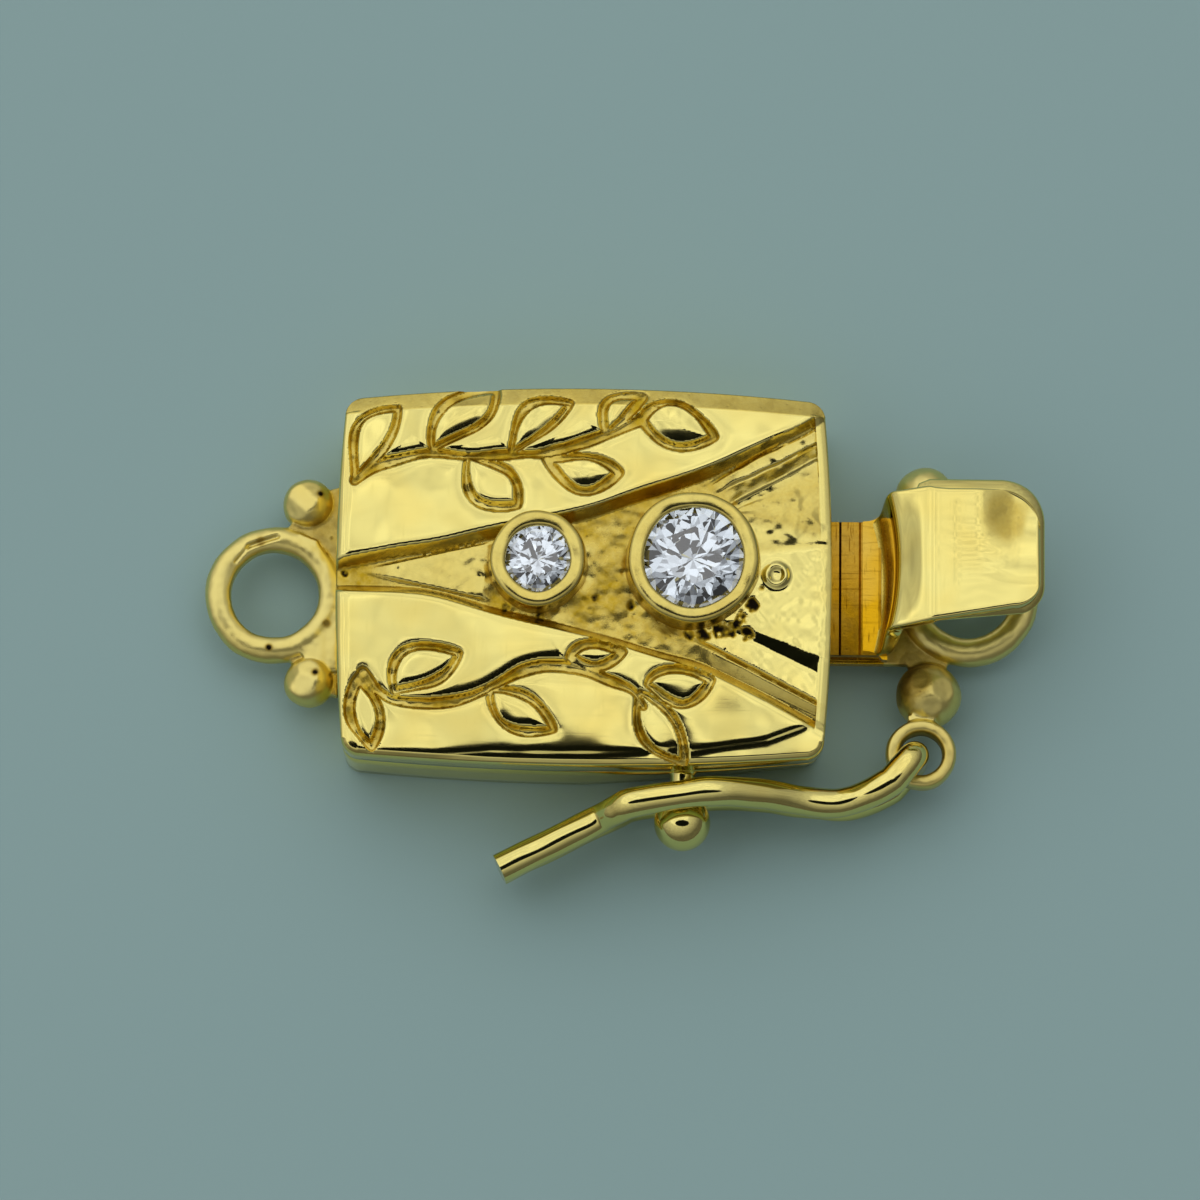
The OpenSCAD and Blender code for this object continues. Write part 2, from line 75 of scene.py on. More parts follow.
class Shade:
    """One socket in a material's node tree. Arithmetic on it adds Math nodes."""

    def __init__(self, tree, socket=None):
        self.tree = tree
        self.socket = socket

    def node(self, kind, settings=(), sockets=(), out=0):
        """A new node: its settings first, then the values or links of its sockets."""
        made = self.tree.nodes.new("ShaderNode" + kind)
        for name, value in dict(settings).items():
            if name == "stops":
                ramp = made.color_ramp.elements
                while len(ramp) < len(value):
                    ramp.new(1)
                for stop, (place, level) in zip(ramp, value):
                    stop.position = place
                    stop.color = (level, level, level, 1)
            else:
                setattr(made, name, value)
        for name, value in dict(sockets).items():
            plug = made.inputs[name]
            if isinstance(value, Shade):
                self.tree.links.new(value.socket, plug)
            elif plug.type == "RGBA":
                plug.default_value = (*value, 1)
            else:
                plug.default_value = value
        return Shade(self.tree, made.outputs[out] if made.outputs else None)

    def sum(self, operation, *values):
        """One Math node on the values."""
        return self.node("Math", {"operation": operation}, dict(enumerate(values)))

    def clamped(self):
        """This value kept between 0 and 1."""
        return self.node("Clamp", {}, {"Value": self})

    def __add__(self, other):
        return self.sum("ADD", self, other)

    def __radd__(self, other):
        return self.sum("ADD", other, self)

    def __sub__(self, other):
        return self.sum("SUBTRACT", self, other)

    def __rsub__(self, other):
        return self.sum("SUBTRACT", other, self)

    def __mul__(self, other):
        return self.sum("MULTIPLY", self, other)

    def __rmul__(self, other):
        return self.sum("MULTIPLY", other, self)

    def stretched(self, scale):
        """These coordinates times a scale for x, y and z."""
        return self.node("VectorMath", {"operation": "MULTIPLY"}, {0: self, 1: scale})

    def between(self, low, high):
        """A colour that goes from low to high as this value goes from 0 to 1."""
        return self.node("Mix", {"data_type": "RGBA"}, {0: self, 6: low, 7: high}, 2)

    def mixed(self, other, amount):
        """This colour going over to the other as amount goes from 0 to 1."""
        return amount.between(self, other)

    def speckle(self, scale, detail=3.0, rough=0.6):
        """Noise from 0 to 1 at these coordinates."""
        return self.node("TexNoise", {"noise_dimensions": "3D"},
                         {"Vector": self, "Scale": scale, "Detail": detail, "Roughness": rough})

    def ramp(self, *stops):
        """This value led through stops of place and level."""
        return self.node("ValToRGB", {"stops": stops}, {"Fac": self})


def gold_finish(name, open_colour, hollow_shade_colour=HOLLOW_SHADE_GOLD, polish=0.07, dull=0.36, frost=0.006,
                scratches=0.4):
    """Gold that is polished where it stands open, and duller and grainy, with painted shade as
    deeper gold, where its point attribute hollow comes to 1; painted black shade where it comes to
    2."""
    material = bpy.data.materials.new(name)
    material.use_nodes = True
    material.node_tree.nodes.clear()
    start = Shade(material.node_tree)
    mm = start.node("TexCoord", out="Object").stretched((1000, 1000, 1000))
    stored = start.node("Attribute", {"attribute_name": "hollow"}, out="Fac")
    hollow, black_shade = stored.clamped(), (stored - 1).clamped()
    cloud = mm.speckle(0.45, 2.0)
    blotch = mm.speckle(2.4, 4.0).ramp((0.46, 0), (0.64, 1))
    grit = mm.speckle(8.0, 5.0, 0.7)
    pits = mm.node("TexVoronoi", {"feature": "F1"}, {"Vector": mm, "Scale": 3.4})
    pits = pits.ramp((0.0, 1), (0.16, 0))
    long_marks = mm.stretched((0.8, 16, 9)).speckle(1.0, 3.0).ramp((0.56, 0), (0.66, 1))
    cross_marks = mm.stretched((13, 1.1, 9)).speckle(1.0, 3.0).ramp((0.6, 0), (0.7, 1))
    marks = long_marks + cross_marks
    # Painted shade: how much of the deeper hollow colour is laid on, broken up by the grit.
    worn = (hollow + hollow * (grit - 0.5) * 0.9).clamped()
    colour = cloud.ramp((0.45, 0), (0.75, 0.6)).between(open_colour, WARM_GOLD)
    colour = colour.mixed(hollow_shade_colour, worn)
    # Dark pits and blotches in the hollows: the casting's pitting and random tone, darkened further
    # as painted shade.
    colour = colour.mixed(PIT_GOLD, hollow * (blotch * 0.4 + pits * 0.5))
    colour = colour.mixed(hollow_shade_colour, cross_marks * (0.13 * scratches)).mixed(BLACK_SHADE, black_shade)
    roughness = polish + hollow * (dull - polish) + marks * (0.05 * scratches) + cloud * 0.03
    height = grit * (hollow * 0.9 + frost) - pits * hollow * 0.8 - marks * (0.012 * scratches)
    bump = height.node("Bump", {}, {"Strength": 0.5, "Distance": 0.00002, "Height": height})
    surface = start.node("BsdfPrincipled", {}, {"Base Color": colour, "Metallic": 1.0,
                                                "Roughness": roughness, "Normal": bump})
    surface.node("OutputMaterial", {}, {"Surface": surface})
    return material


def rounded_outline(inset, steps=14, corner_steps=9):
    """The case's outline as x, y rows: a rounded rectangle whose sides bow out."""
    size = np.array([HALF_L - inset, HALF_W - inset])
    corner = max(CORNER_R - inset, 0.06)
    run = size - corner
    quarter = [(size[0], run[1] * i / steps) for i in range(steps)]
    for i in range(corner_steps + 1):
        turn = math.pi / 2 * i / corner_steps
        quarter.append((run[0] + corner * math.cos(turn), run[1] + corner * math.sin(turn)))
    quarter += [(run[0] * i / steps, size[1]) for i in range(steps - 1, 0, -1)]
    quarter = np.array(quarter + [(0.0, size[1])])
    left = quarter[::-1][1:] * (-1, 1)
    upper = np.vstack([quarter, left])
    lower = upper[::-1][1:-1] * (1, -1)
    return bowed(np.vstack([upper, lower]), size)


def bowed(points, size=(HALF_L, HALF_W)):
    """Points of a straight-sided rectangle moved so that its sides bow out in the middle."""
    x, y = points[..., 0], points[..., 1]
    return np.stack([x * (1 - END_BOW / size[0] * (y / size[1]) ** 2),
                     y * (1 - SIDE_BOW / size[1] * (x / size[0]) ** 2)], -1)


def leaned(points, height):
    """The front wall's foot leans in, more and more towards the tongue's end."""
    share = FRONT_LEAN / HALF_W * np.clip(points[:, 0] / HALF_L, 0, None) * (1 - height / CASE_H)
    y = np.where(points[:, 1] < 0, points[:, 1] * (1 - share), points[:, 1])
    return np.stack([points[:, 0], y], -1)


def loft(rings):
    """A closed skin over rings of points, with a flat face on each end."""
    count = len(rings[0])
    starts = [k * count for k in range(len(rings))]
    faces = [[low + j, low + (j + 1) % count, high + (j + 1) % count, high + j]
             for low, high in zip(starts, starts[1:]) for j in range(count)]
    faces.append(list(range(count))[::-1])
    faces.append([starts[-1] + j for j in range(count)])
    return np.vstack(rings), faces


def blank(name, points, faces):
    """An object still in millimetres."""
    mesh = bpy.data.meshes.new(name)
    mesh.from_pydata(np.asarray(points).tolist(), [], faces)
    mesh.validate()
    made = bpy.data.objects.new(name, mesh)
    bpy.context.collection.objects.link(made)
    return made


def worked(made, kind, **settings):
    """The object after one modifier of that kind."""
    step = made.modifiers.new(kind, kind)
    for name, value in settings.items():
        setattr(step, name, value)
    graph = bpy.context.evaluated_depsgraph_get()
    shaped = bpy.data.meshes.new_from_object(made.evaluated_get(graph))
    made.modifiers.clear()
    made.data = shaped
    return made


def cut(made, tool):
    """The object with the tool's shape taken away."""
    worked(made, "BOOLEAN", operation="DIFFERENCE", solver="EXACT", object=tool)
    bpy.data.objects.remove(tool)
    return made


def finished(made, finish, body, stands_for=(), crease=35):
    """The piece in metres, smooth up to a crease angle, with its finish, riding on a body."""
    made.data.transform(Matrix.Scale(0.001, 4))
    made.data.shade_smooth()
    made.data.set_sharp_from_angle(angle=math.radians(crease))
    made.data.materials.clear()
    made.data.materials.append(finish)
    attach(made, body)
    if stands_for:
        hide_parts(*stands_for)
    return made


def at_height(plan, z):
    """Rows of x and y, all at that height."""
    return np.column_stack([plan, np.full(len(plan), z)])


def wall_ring(inset, height):
    """The case's outline at one height."""
    return at_height(leaned(rounded_outline(inset), height), height)


def box_ring(x, half_y, low, high):
    """An upright rectangle across the tongue's way."""
    return np.array([(x, -half_y, low), (x, half_y, low), (x, half_y, high), (x, -half_y, high)])


polished_gold = gold_finish("polished_gold", BRIGHT_GOLD)
# Painted light: the tray's walls get the brighter copy of the gold.
wall_gold = gold_finish("wall_gold", LIT_WALL_GOLD)

case_rings = [wall_ring(FOOT_INSET + more, height) for more, height in FOOT_EDGE]
case_rings += [wall_ring(FOOT_INSET * (1 - height / CASE_H), height)
               for height in (0.9, 1.7, CASE_H - 0.05)]
case_rings.append(wall_ring(0.03, CASE_H))
case_tray = blank("case_tray", *loft(case_rings))
cut(case_tray, blank("cavity", *loft([wall_ring(WALL, FLOOR_T), wall_ring(WALL, CASE_H + 1)])))
slot_mouth = [box_ring(HALF_L - 2 * WALL, SLOT_HALF_W, FLOOR_T, SLOT_TOP),
              box_ring(HALF_L - 0.06, SLOT_HALF_W, FLOOR_T, SLOT_TOP),
              box_ring(HALF_L + 0.3, SLOT_HALF_W + SLOT_FLARE, FLOOR_T - SLOT_FLARE,
                       SLOT_TOP + SLOT_FLARE)]
cut(case_tray, blank("slot", *loft(slot_mouth)))
finished(case_tray, wall_gold, "case", ["case"])

# ---------------------------------------------------------------- Cover
# The cover is one lost-wax casting soldered on the tray: two polished panels with engraved leaf
# sprays, and between them a rough recessed channel whose cast rays open out towards the tongue.

EDGE_TOP = CASE_H + 0.85
CROWN_TOP = CASE_H + 1.3
CROWN_R = 100
# A low worn step along the front of the lower panel: how far in from the edge it runs, along x,
# how high it is and how soft
FRONT_STEP = [(-6.8, 0.1), (-4.2, 0.14), (-2.6, 0.32), (1.8, 0.38), (2.6, 0.5), (3.1, 0.38),
              (5.2, 0.6), (6.4, 1.0)]
STEP_H, STEP_SOFT = 0.05, 0.05
# The cover's edges: a narrow bevel in front, round ends, and a broad flat bevel at the back
FRONT_BEVEL_W, FRONT_BEVEL_SLOPE = 0.16, 0.5
END_EDGE_W = 0.4
# The back bevel is painted deeper and duller: a painted reflection of the dim room behind it.
BACK_EDGE_W, BACK_EDGE_RISE, BACK_EDGE_DULL_AND_SHADE = 0.5, 0.205, 0.45
CHANNEL_D, CHANNEL_WALL = 0.5, 0.27
# The engraved grooves: depth, half width along the leaves and along the stems, and wall width
GROOVE_D, GROOVE_HALF, STEM_HALF, GROOVE_WALL = 0.2, 0.145, 0.17, 0.085
LIP_W = 0.12
# How far the panel dips beside the leaves and beside each stem, along x
LEAF_LIP = [(0, 0.014)]
UPPER_LIP = [(-6.2, 0.014), (-5.4, 0.045), (1, 0.045), (1.8, 0.014)]
LOWER_LIP = [(-4.4, 0.014), (-3.2, 0.032), (-0.6, 0.05), (0.3, 0.014)]
SHOULDER_SLOPE = 0.21
END_RIM_W, END_RIM_DROP = 0.33, 0.16
SKIRT_LOW = CASE_H + 0.05
COLUMNS, ROWS = 346, 266
CELL = 2 * HALF_L / COLUMNS
FAR = 9.0

# The channel's two borders and the two stems, as places that the line runs through
UPPER_BORDER = [(-7.4, 0.4), (-5.3, 0.8), (-4.1, 1.0), (-2.4, 1.4), (-0.1, 1.9), (1.6, 2.5),
                (3.3, 3.1), (5, 3.9), (6.2, 4.5), (7.4, 5.4)]
LOWER_BORDER = [(-7.4, -0.5), (-5.3, -0.55), (-4.1, -0.7), (-2.4, -1.2), (-0.7, -1.6), (0.5, -1.9),
                (2.2, -2.4), (3.3, -2.7), (5, -3.5), (6.5, -4.3), (7.4, -4.8)]
UPPER_STEM = [(-6.5, 2.7), (-5.9, 3.1), (-5.3, 3.3), (-4.4, 3.5), (-3.3, 3.4), (-2.1, 3.45),
              (-1.1, 3.5), (-0.1, 3.8), (0.7, 4.1), (1.6, 4.5)]
LOWER_STEM = [(-6.2, -2.8), (-5.8, -3.3), (-5.3, -3.6), (-4.4, -3.7), (-3.5, -3.6), (-2.7, -3.3),
              (-1.8, -2.8), (-1, -2.6), (-0.1, -2.7), (0.7, -3), (1.4, -3.3), (1.7, -3.75)]
# Leaves: base x, base y, direction in degrees, length, widest reach to the left and to the right,
# how far along the leaf each of those is, and how far its middle swells up
LEAVES = [
    (-6.5, 2.7, 60, 2.4, 0.75, -0.25, 0.6, 0.6, 0.012),
    (-4.3, 3.6, 45, 2.5, 0.7, -0.45, 0.45, 0.65, 0.07),
    (-2.1, 3.5, 41, 2.2, 0.72, -0.15, 0.55, 0.6, 0.06),
    (0.6, 4.15, 45, 1.45, 0.6, -0.1, 0.45, 0.3, 0.04),
    (1.6, 4.5, -13, 2.1, 0.7, -0.55, 0.4, 0.5, 0.09),
    (-3.3, 3.4, -45, 2, 0.5, -0.74, 0.6, 0.5, 0.02),
    (-1.1, 3.35, -11, 2.1, 0.27, -0.74, 0.6, 0.55, 0.08),
    (-5.3, -3.35, 31, 2.1, 0.85, -0.34, 0.4, 0.6, 0.02),
    (-6.3, -2.95, -79, 2, 0.4, -0.44, 0.55, 0.5, 0.012),
    (-2.6, -3.3, -32, 2.1, 0.38, -0.63, 0.5, 0.45, 0.03),
    (-0.35, -2.35, 6, 1.45, 0.32, -0.35, 0.4, 0.5, 0.03),
    (1.6, -3.35, -57, 2.3, 0.41, -0.63, 0.5, 0.5, 0.012),
    (1.8, -3.1, 4, 1.8, 0.38, -0.64, 0.4, 0.55, 0.015)]
# Rays of the channel's far end, from the back to the front: y beside the large stone, y at the
# end wall, height above the channel floor, and how dull, with its painted shade
RAY_NEAR_X, RAY_FAR_X = 4.9, 6.65
RAYS = [(3.62, 4.68, 0.12, 0.5), (3.55, 4.59, 0.0, 1.5), (3.47, 4.5, 0.16, 0.4),
        (3.14, 4.04, 0.15, 0.15), (3.06, 3.98, 0.06, 0.4), (2.58, 3.55, 0.32, 0.35),
        (2.52, 3.49, 0.25, 0.2), (2.3, 3.17, 0.24, 0.4), (2.2, 2.75, 0.3, 0.5),
        (2.0, 2.35, 0.3, 0.4), (1.75, 1.4, 0.37, 0.5), (1.35, 1.08, 0.37, 0.15),
        (0.8, 1.02, 0.345, 0.3), (0.6, 0.86, 0.36, 0), (-1.58, -2.22, 0.35, 0),
        (-1.88, -2.72, 0.29, 0), (-1.96, -2.8, 0.305, 0), (-2.6, -3.5, 0.31, 0),
        (-2.68, -3.56, 0.12, 0.9), (-2.76, -3.66, 0.16, 0.35), (-3.1, -3.9, 0.04, 0.5)]
# The low wedge between the end ring and the small stone, given in the same way
WEDGE_NEAR_X, WEDGE_FAR_X = -5.3, -2.7
WEDGE = [(0.45, 1.02, 0, 0.6), (0.38, 0.96, 0.07, 0.3), (-0.06, -0.64, 0.07, 0.3),
         (-0.12, -0.7, 0, 0.6)]
# Black places in the channel, each sunk a little as a pit and painted black as shade, most along
# the bezels' lower sides: x, y and how far each reaches
BLACK_SHADE_PLACES = [(4.98, -0.3, 0.12), (4.75, -0.8, 0.24), (4.42, -1.15, 0.28), (4.2, -1.5, 0.3),
         (3.9, -1.52, 0.3), (3.4, -1.6, 0.27), (3.0, -1.6, 0.18), (4.6, -1.6, 0.24),
         (0.35, -0.6, 0.16), (-2.2, -0.9, 0.16), (-1.2, -1.15, 0.18), (-6.75, 0.1, 0.12),
         (1.35, -0.75, 0.18)]
PIT_COUNT, PIT_D = 60, 0.5

# The stones, whose seats are sunk into the cover, and a cast bubble beside the large one
LARGE_AT, LARGE_D = (3.1, 0.46), 3.0
SMALL_AT, SMALL_D = (-1.28, 0.42), 2.0
GIRDLE_DROP = 0.3
LARGE_TOP = CROWN_TOP + 0.35
SMALL_TOP = CROWN_TOP + 0.25
BUBBLE_AT, BUBBLE_R, BUBBLE_H, BUBBLE_SOFT = (5.42, 0.08), 0.27, 0.08, 0.1


def smooth_route(points, steps):
    """A finer route through the same points, bent smoothly."""
    points = np.array(points, float)
    padded = np.vstack([2 * points[0] - points[1], points, 2 * points[-1] - points[-2]])
    finer = []
    for a, b, c, d in zip(padded, padded[1:], padded[2:], padded[3:]):
        for i in range(steps):
            t = i / steps
            finer.append(0.5 * (2 * b + (c - a) * t + (2 * a - 5 * b + 4 * c - d) * t * t
                                + (3 * b - a - 3 * c + d) * t ** 3))
    return np.array(finer + [points[-1]])


def eased(value):
    """0 below 0, 1 above 1, with a soft start and end."""
    t = np.clip(value, 0, 1)
    return t * t * (3 - 2 * t)


def dapple(x, y, cell, seed):
    """Smooth random heights from -1 to 1, varying over that many millimetres."""
    lattice = np.random.default_rng(seed).uniform(-1, 1, (64, 64))
    across, along = x / cell + 1000, y / cell + 1000
    i, j = np.floor(across).astype(int), np.floor(along).astype(int)
    u, v = eased(across - i), eased(along - j)
    low = lattice[i % 64, j % 64] * (1 - u) + lattice[(i + 1) % 64, j % 64] * u
    high = lattice[i % 64, (j + 1) % 64] * (1 - u) + lattice[(i + 1) % 64, (j + 1) % 64] * u
    return low * (1 - v) + high * v


def nearest_on(points, route):
    """The nearest place on a route of straight runs for each point, and its distance."""
    start, step = route[:-1], np.diff(route, axis=0)
    share = ((points[:, None] - start) * step).sum(-1) / np.maximum((step ** 2).sum(-1), 1e-9)
    nearest = start + np.clip(share, 0, 1)[..., None] * step
    gaps = np.linalg.norm(points[:, None] - nearest, axis=-1)
    rows, best = np.arange(len(points)), gaps.argmin(1)
    return nearest[rows, best], gaps[rows, best]


def leaf_outline(leaf, steps=24):
    """The closed outline of a leaf: two bows from its base to its tip."""
    base, turn, length = np.array(leaf[:2]), math.radians(leaf[2]), leaf[3]
    t = np.linspace(0, 1, steps)
    sides = []
    for reach, peak in ((leaf[5], leaf[7]), (leaf[4], leaf[6])):
        bow = np.sin(math.pi * t ** (math.log(0.5) / math.log(peak))).clip(0) ** 0.85
        sides.append(np.column_stack([t * length, reach * bow]))
    ring = np.vstack([sides[0], sides[1][::-1]])
    spin = np.array([[math.cos(turn), math.sin(turn)], [-math.sin(turn), math.cos(turn)]])
    return base + ring @ spin


def within(points, ring):
    """Which points lie inside a closed ring."""
    inside = np.zeros(len(points), bool)
    for (ax, ay), (bx, by) in zip(ring, np.roll(ring, -1, axis=0)):
        crosses = (ay > points[:, 1]) != (by > points[:, 1])
        with np.errstate(divide="ignore", invalid="ignore"):
            meets = points[:, 0] < (bx - ax) * (points[:, 1] - ay) / (by - ay) + ax
        inside ^= crosses & meets
    return inside


def folded(x, y, table, near_x, far_x, column=2):
    """Heights, or another column, of a surface that runs straight between the table's lines."""
    share = np.clip((x - near_x) / (far_x - near_x), -1, 1.2)
    height = np.full(x.shape, float(table[0][column]))
    for row_a, row_b in zip(table, table[1:]):
        upper, lower = (row[0] + (row[1] - row[0]) * share for row in (row_a, row_b))
        rise = row_b[column] - row_a[column]
        height += rise * np.clip((upper - y) / np.maximum(upper - lower, 0.01), 0, 1)
    return height


def settle(spots, lines, reach):
    """Moves each y that is close to one of the lines onto it, so that edges come out crisp."""
    for line in lines:
        close = np.abs(spots[..., 1] - line) < reach
        spots[..., 1] = np.where(close, line, spots[..., 1])


def spaced(count, ease=0.35):
    """Places from -1 to 1, closer together at both ends."""
    t = np.linspace(-1, 1, count)
    return t * (1 - ease) + ease * np.sin(math.pi / 2 * t)


# A fine grid over the whole cover, with its corners drawn in and its sides bowed
half_size = np.array([HALF_L, HALF_W])
grid = np.stack(np.meshgrid(spaced(COLUMNS) * HALF_L, spaced(ROWS) * HALF_W, indexing="ij"), -1)
run = half_size - CORNER_R
past = np.clip((np.abs(grid) - run) / CORNER_R, 0, 1)
turned_in = np.sign(grid) * (run + CORNER_R * past * np.sqrt(1 - past[..., ::-1] ** 2 / 2))
grid = np.where((past > 0).all(-1, keepdims=True), turned_in, grid)
over = np.abs(grid) - run
edge_gap = CORNER_R - np.linalg.norm(over.clip(0), axis=-1) - over.max(-1).clip(None, 0)
spots = bowed(grid)
movable = edge_gap > 0.08
kept = spots.copy()
upper_route, lower_route = smooth_route(UPPER_BORDER, 6), smooth_route(LOWER_BORDER, 6)


def border(route, x):
    """A border's y at x, and how much longer the border is than its x."""
    y = np.interp(x, route[:, 0], route[:, 1])
    return y, np.hypot(1, np.interp(x, route[:, 0], np.gradient(route[:, 1], route[:, 0])))


# Points near the channel's borders and the rays move onto them
upper_y, upper_slant = border(upper_route, spots[..., 0])
lower_y, lower_slant = border(lower_route, spots[..., 0])
ray_share = np.clip((spots[..., 0] - RAY_NEAR_X) / (RAY_FAR_X - RAY_NEAR_X), -1, 1.2)
settle(spots, [upper_y, lower_y, upper_y - CHANNEL_WALL * upper_slant,
               lower_y + CHANNEL_WALL * lower_slant], CELL * 0.5)
far_part = spots[..., 0] > 3.6
rayed = spots.copy()
settle(rayed, [row[0] + (row[1] - row[0]) * ray_share for row in RAYS], CELL * 0.4)
spots = np.where(far_part[..., None], rayed, spots)

# How far each point is from the nearest groove, and points near a groove's edges move onto them
flat = spots.reshape(-1, 2)
groove_gap = np.full(len(flat), FAR)
groove_half = np.full(len(flat), GROOVE_HALF)
groove_place = flat.copy()
leaf_swell = np.full(len(flat), -1.0)
leaf_rings = [leaf_outline(leaf) for leaf in LEAVES]
lip_drop = np.zeros(len(flat))
engraved = [(np.vstack([ring, ring[:1]]), GROOVE_HALF, LEAF_LIP) for ring in leaf_rings]
engraved += [(smooth_route(UPPER_STEM, 4), STEM_HALF, UPPER_LIP),
             (smooth_route(LOWER_STEM, 4), STEM_HALF, LOWER_LIP)]
for route, half_width, lips in engraved:
    low, high = route.min(0) - 0.7, route.max(0) + 0.7
    near = np.nonzero(((flat > low) & (flat < high)).all(1))[0]
    place, gap = nearest_on(flat[near], route)
    half_here = half_width * (1 + 0.3 * dapple(place[:, 0], place[:, 1], 0.8, 31))
    better = gap - half_here < groove_gap[near]
    chosen = near[better]
    groove_gap[chosen] = (gap - half_here)[better]
    groove_place[chosen], groove_half[chosen] = place[better], half_here[better]
    lip_drop[chosen] = np.interp(place[better, 0], *zip(*lips))
for leaf, ring in zip(LEAVES, leaf_rings):
    leaf_swell[within(flat, ring)] = leaf[8]
away = flat - groove_place
length = np.maximum(np.linalg.norm(away, axis=1), 1e-6)
for lip in (0.0, -GROOVE_WALL):
    close = (np.abs(groove_gap - lip) < CELL * 0.42) & (length > 0.03)
    flat[close] = (groove_place + away / length[:, None] * (groove_half + lip)[:, None])[close]
    groove_gap[close] = lip
spots = np.where(movable[..., None], flat.reshape(spots.shape), kept)
groove_gap, leaf_swell, lip_drop = (values.reshape(edge_gap.shape)
                                    for values in (groove_gap, leaf_swell, lip_drop))

# The panels: a shallow crown, a little uneven, with grooves, soft lips and swelling leaves
x, y = spots[..., 0], spots[..., 1]
crown = CROWN_TOP - CROWN_R + np.sqrt(CROWN_R ** 2 - x ** 2 - y ** 2)
upper_y, upper_slant = border(upper_route, x)
lower_y, lower_slant = border(lower_route, x)
channel_gap = np.minimum((upper_y - y) / upper_slant, (y - lower_y) / lower_slant)
in_channel = channel_gap > 0

in_groove = np.clip(-groove_gap / GROOVE_WALL, 0, 1)
beside = np.maximum(groove_gap, 0)
panel = crown + 0.02 * dapple(x, y, 1.4, 1) + 0.005 * dapple(x, y, 0.6, 2)
panel -= in_groove * (GROOVE_D - 0.025 * dapple(x, y, 0.22, 4) - 0.04 * dapple(x, y, 0.9, 3))
panel -= 0.05 * np.clip(-groove_gap / GROOVE_HALF, 0, 1) ** 0.7
panel -= np.where(leaf_swell > 0, LEAF_LIP[0][1], lip_drop * np.exp(-beside / LIP_W))
swell = np.maximum(leaf_swell, 0.001) * (1 + 0.3 * dapple(x, y, 0.7, 32))
panel += np.where(leaf_swell > 0, swell * np.tanh(SHOULDER_SLOPE * beside / swell), 0)
panel -= 0.02 * np.exp(-np.maximum(-channel_gap, 0) / 0.06)

# The channel: rays at the tongue's end, a low wedge at the other, and rough pitted metal between
rays_in = eased((x - 2.7 - 0.6 * (y > 0)) / 1.2)
wedge_in = (1 - eased((x + 2.9) / 0.4)) * eased((x + 6.4) / 1.2)
rough_part = eased((x + 4.2) / 1.6) * (1 - rays_in)
waver = y + 0.05 * dapple(x, y, 0.7, 41) * (y > 0.95)
relief = folded(x, waver, RAYS, RAY_NEAR_X, RAY_FAR_X) * rays_in
relief += folded(x, y, WEDGE, WEDGE_NEAR_X, WEDGE_FAR_X) * wedge_in
rough_rays = rays_in * eased((y - 0.9) / 0.4)
aslant, across = 0.8 * x + 0.6 * y, 0.8 * y - 0.6 * x
grain = dapple(x, y, 0.45, 5) + 0.6 * dapple(aslant, across, 0.2, 6)
relief += (0.006 + 0.024 * np.maximum(rough_part, rough_rays)) * grain
pit_dice = np.random.default_rng(11)
for _ in range(PIT_COUNT):
    pit_x, pit_y = pit_dice.uniform(-6.6, 4), pit_dice.uniform(-3, 3.4)
    size = pit_dice.uniform(0.03, 0.07)
    relief -= PIT_D * size * np.exp(-((x - pit_x) ** 2 + (y - pit_y) ** 2) / size ** 2)
# Painted shade: black with ragged edges round the places above, which also sink a little.
near_black_shade = np.zeros(x.shape)
for at_x, at_y, reach in BLACK_SHADE_PLACES:
    off = (x - at_x) ** 2 + (y - at_y) ** 2
    near_black_shade = np.maximum(near_black_shade, np.exp(-(off / reach ** 2) ** 2))
ragged = 0.5 * dapple(aslant, across, 0.19, 12) + 0.45 * dapple(across, aslant, 0.09, 13)
black_shade = eased((1.7 + ragged) * near_black_shade + 0.5 * ragged - 0.75) * (near_black_shade > 0.02)
relief -= 0.03 * black_shade
bubble_r = np.hypot(x - BUBBLE_AT[0], y - BUBBLE_AT[1])
bubble = BUBBLE_H * np.exp(-((bubble_r - BUBBLE_R) / BUBBLE_SOFT) ** 2)
relief += bubble * (1 + 0.7 * dapple(x, y, 0.3, 14))
down = np.clip(channel_gap / CHANNEL_WALL, 0, 1)
channel = crown - CHANNEL_D * down + relief * eased((channel_gap - 0.1) / 0.25)
top = np.where(in_channel, channel, panel)
end_gap = HALF_L - np.abs(grid[..., 0])
at_tongue_end = (end_gap < END_RIM_W) & (x > 0)
rim_height = np.minimum(panel, crown - END_RIM_DROP * down)
top = np.where(at_tongue_end & in_channel, np.maximum(top, rim_height), top)

# The edges: each one cuts down what stands above it
in_corner = (past > 0).all(-1)
back_gap, front_gap = (np.where(in_corner, edge_gap, HALF_W - way * grid[..., 1])
                       for way in (1, -1))
end_gap = np.where(in_corner, edge_gap, end_gap)
back_gap[:, :ROWS // 2], front_gap[:, ROWS // 2:] = FAR, FAR
end_low = np.minimum(EDGE_TOP, top - 0.08)
end_share = np.clip(end_gap / END_EDGE_W, 0, 1)
end_top = end_low + (top - end_low) * np.sqrt(1 - (1 - end_share) ** 2)
at_back = back_gap < BACK_EDGE_W
back_low = np.minimum(crown - BACK_EDGE_RISE, top - 0.08)
back_share = np.clip(back_gap / BACK_EDGE_W, 0, 1)
back_top = np.where(at_back, back_low + (top - back_low) * back_share, top)
past_step = (np.interp(x, *zip(*FRONT_STEP)) - front_gap) / STEP_SOFT
front_top = top - STEP_H * (1 + np.tanh(past_step / 2)) / 2
front_top -= (FRONT_BEVEL_SLOPE * np.clip(FRONT_BEVEL_W - front_gap, 0, 1)
              + 0.05 * (1 - np.clip(front_gap / 0.06, 0, 1)) ** 2)
top = np.minimum(np.minimum(end_top, back_top), front_top)

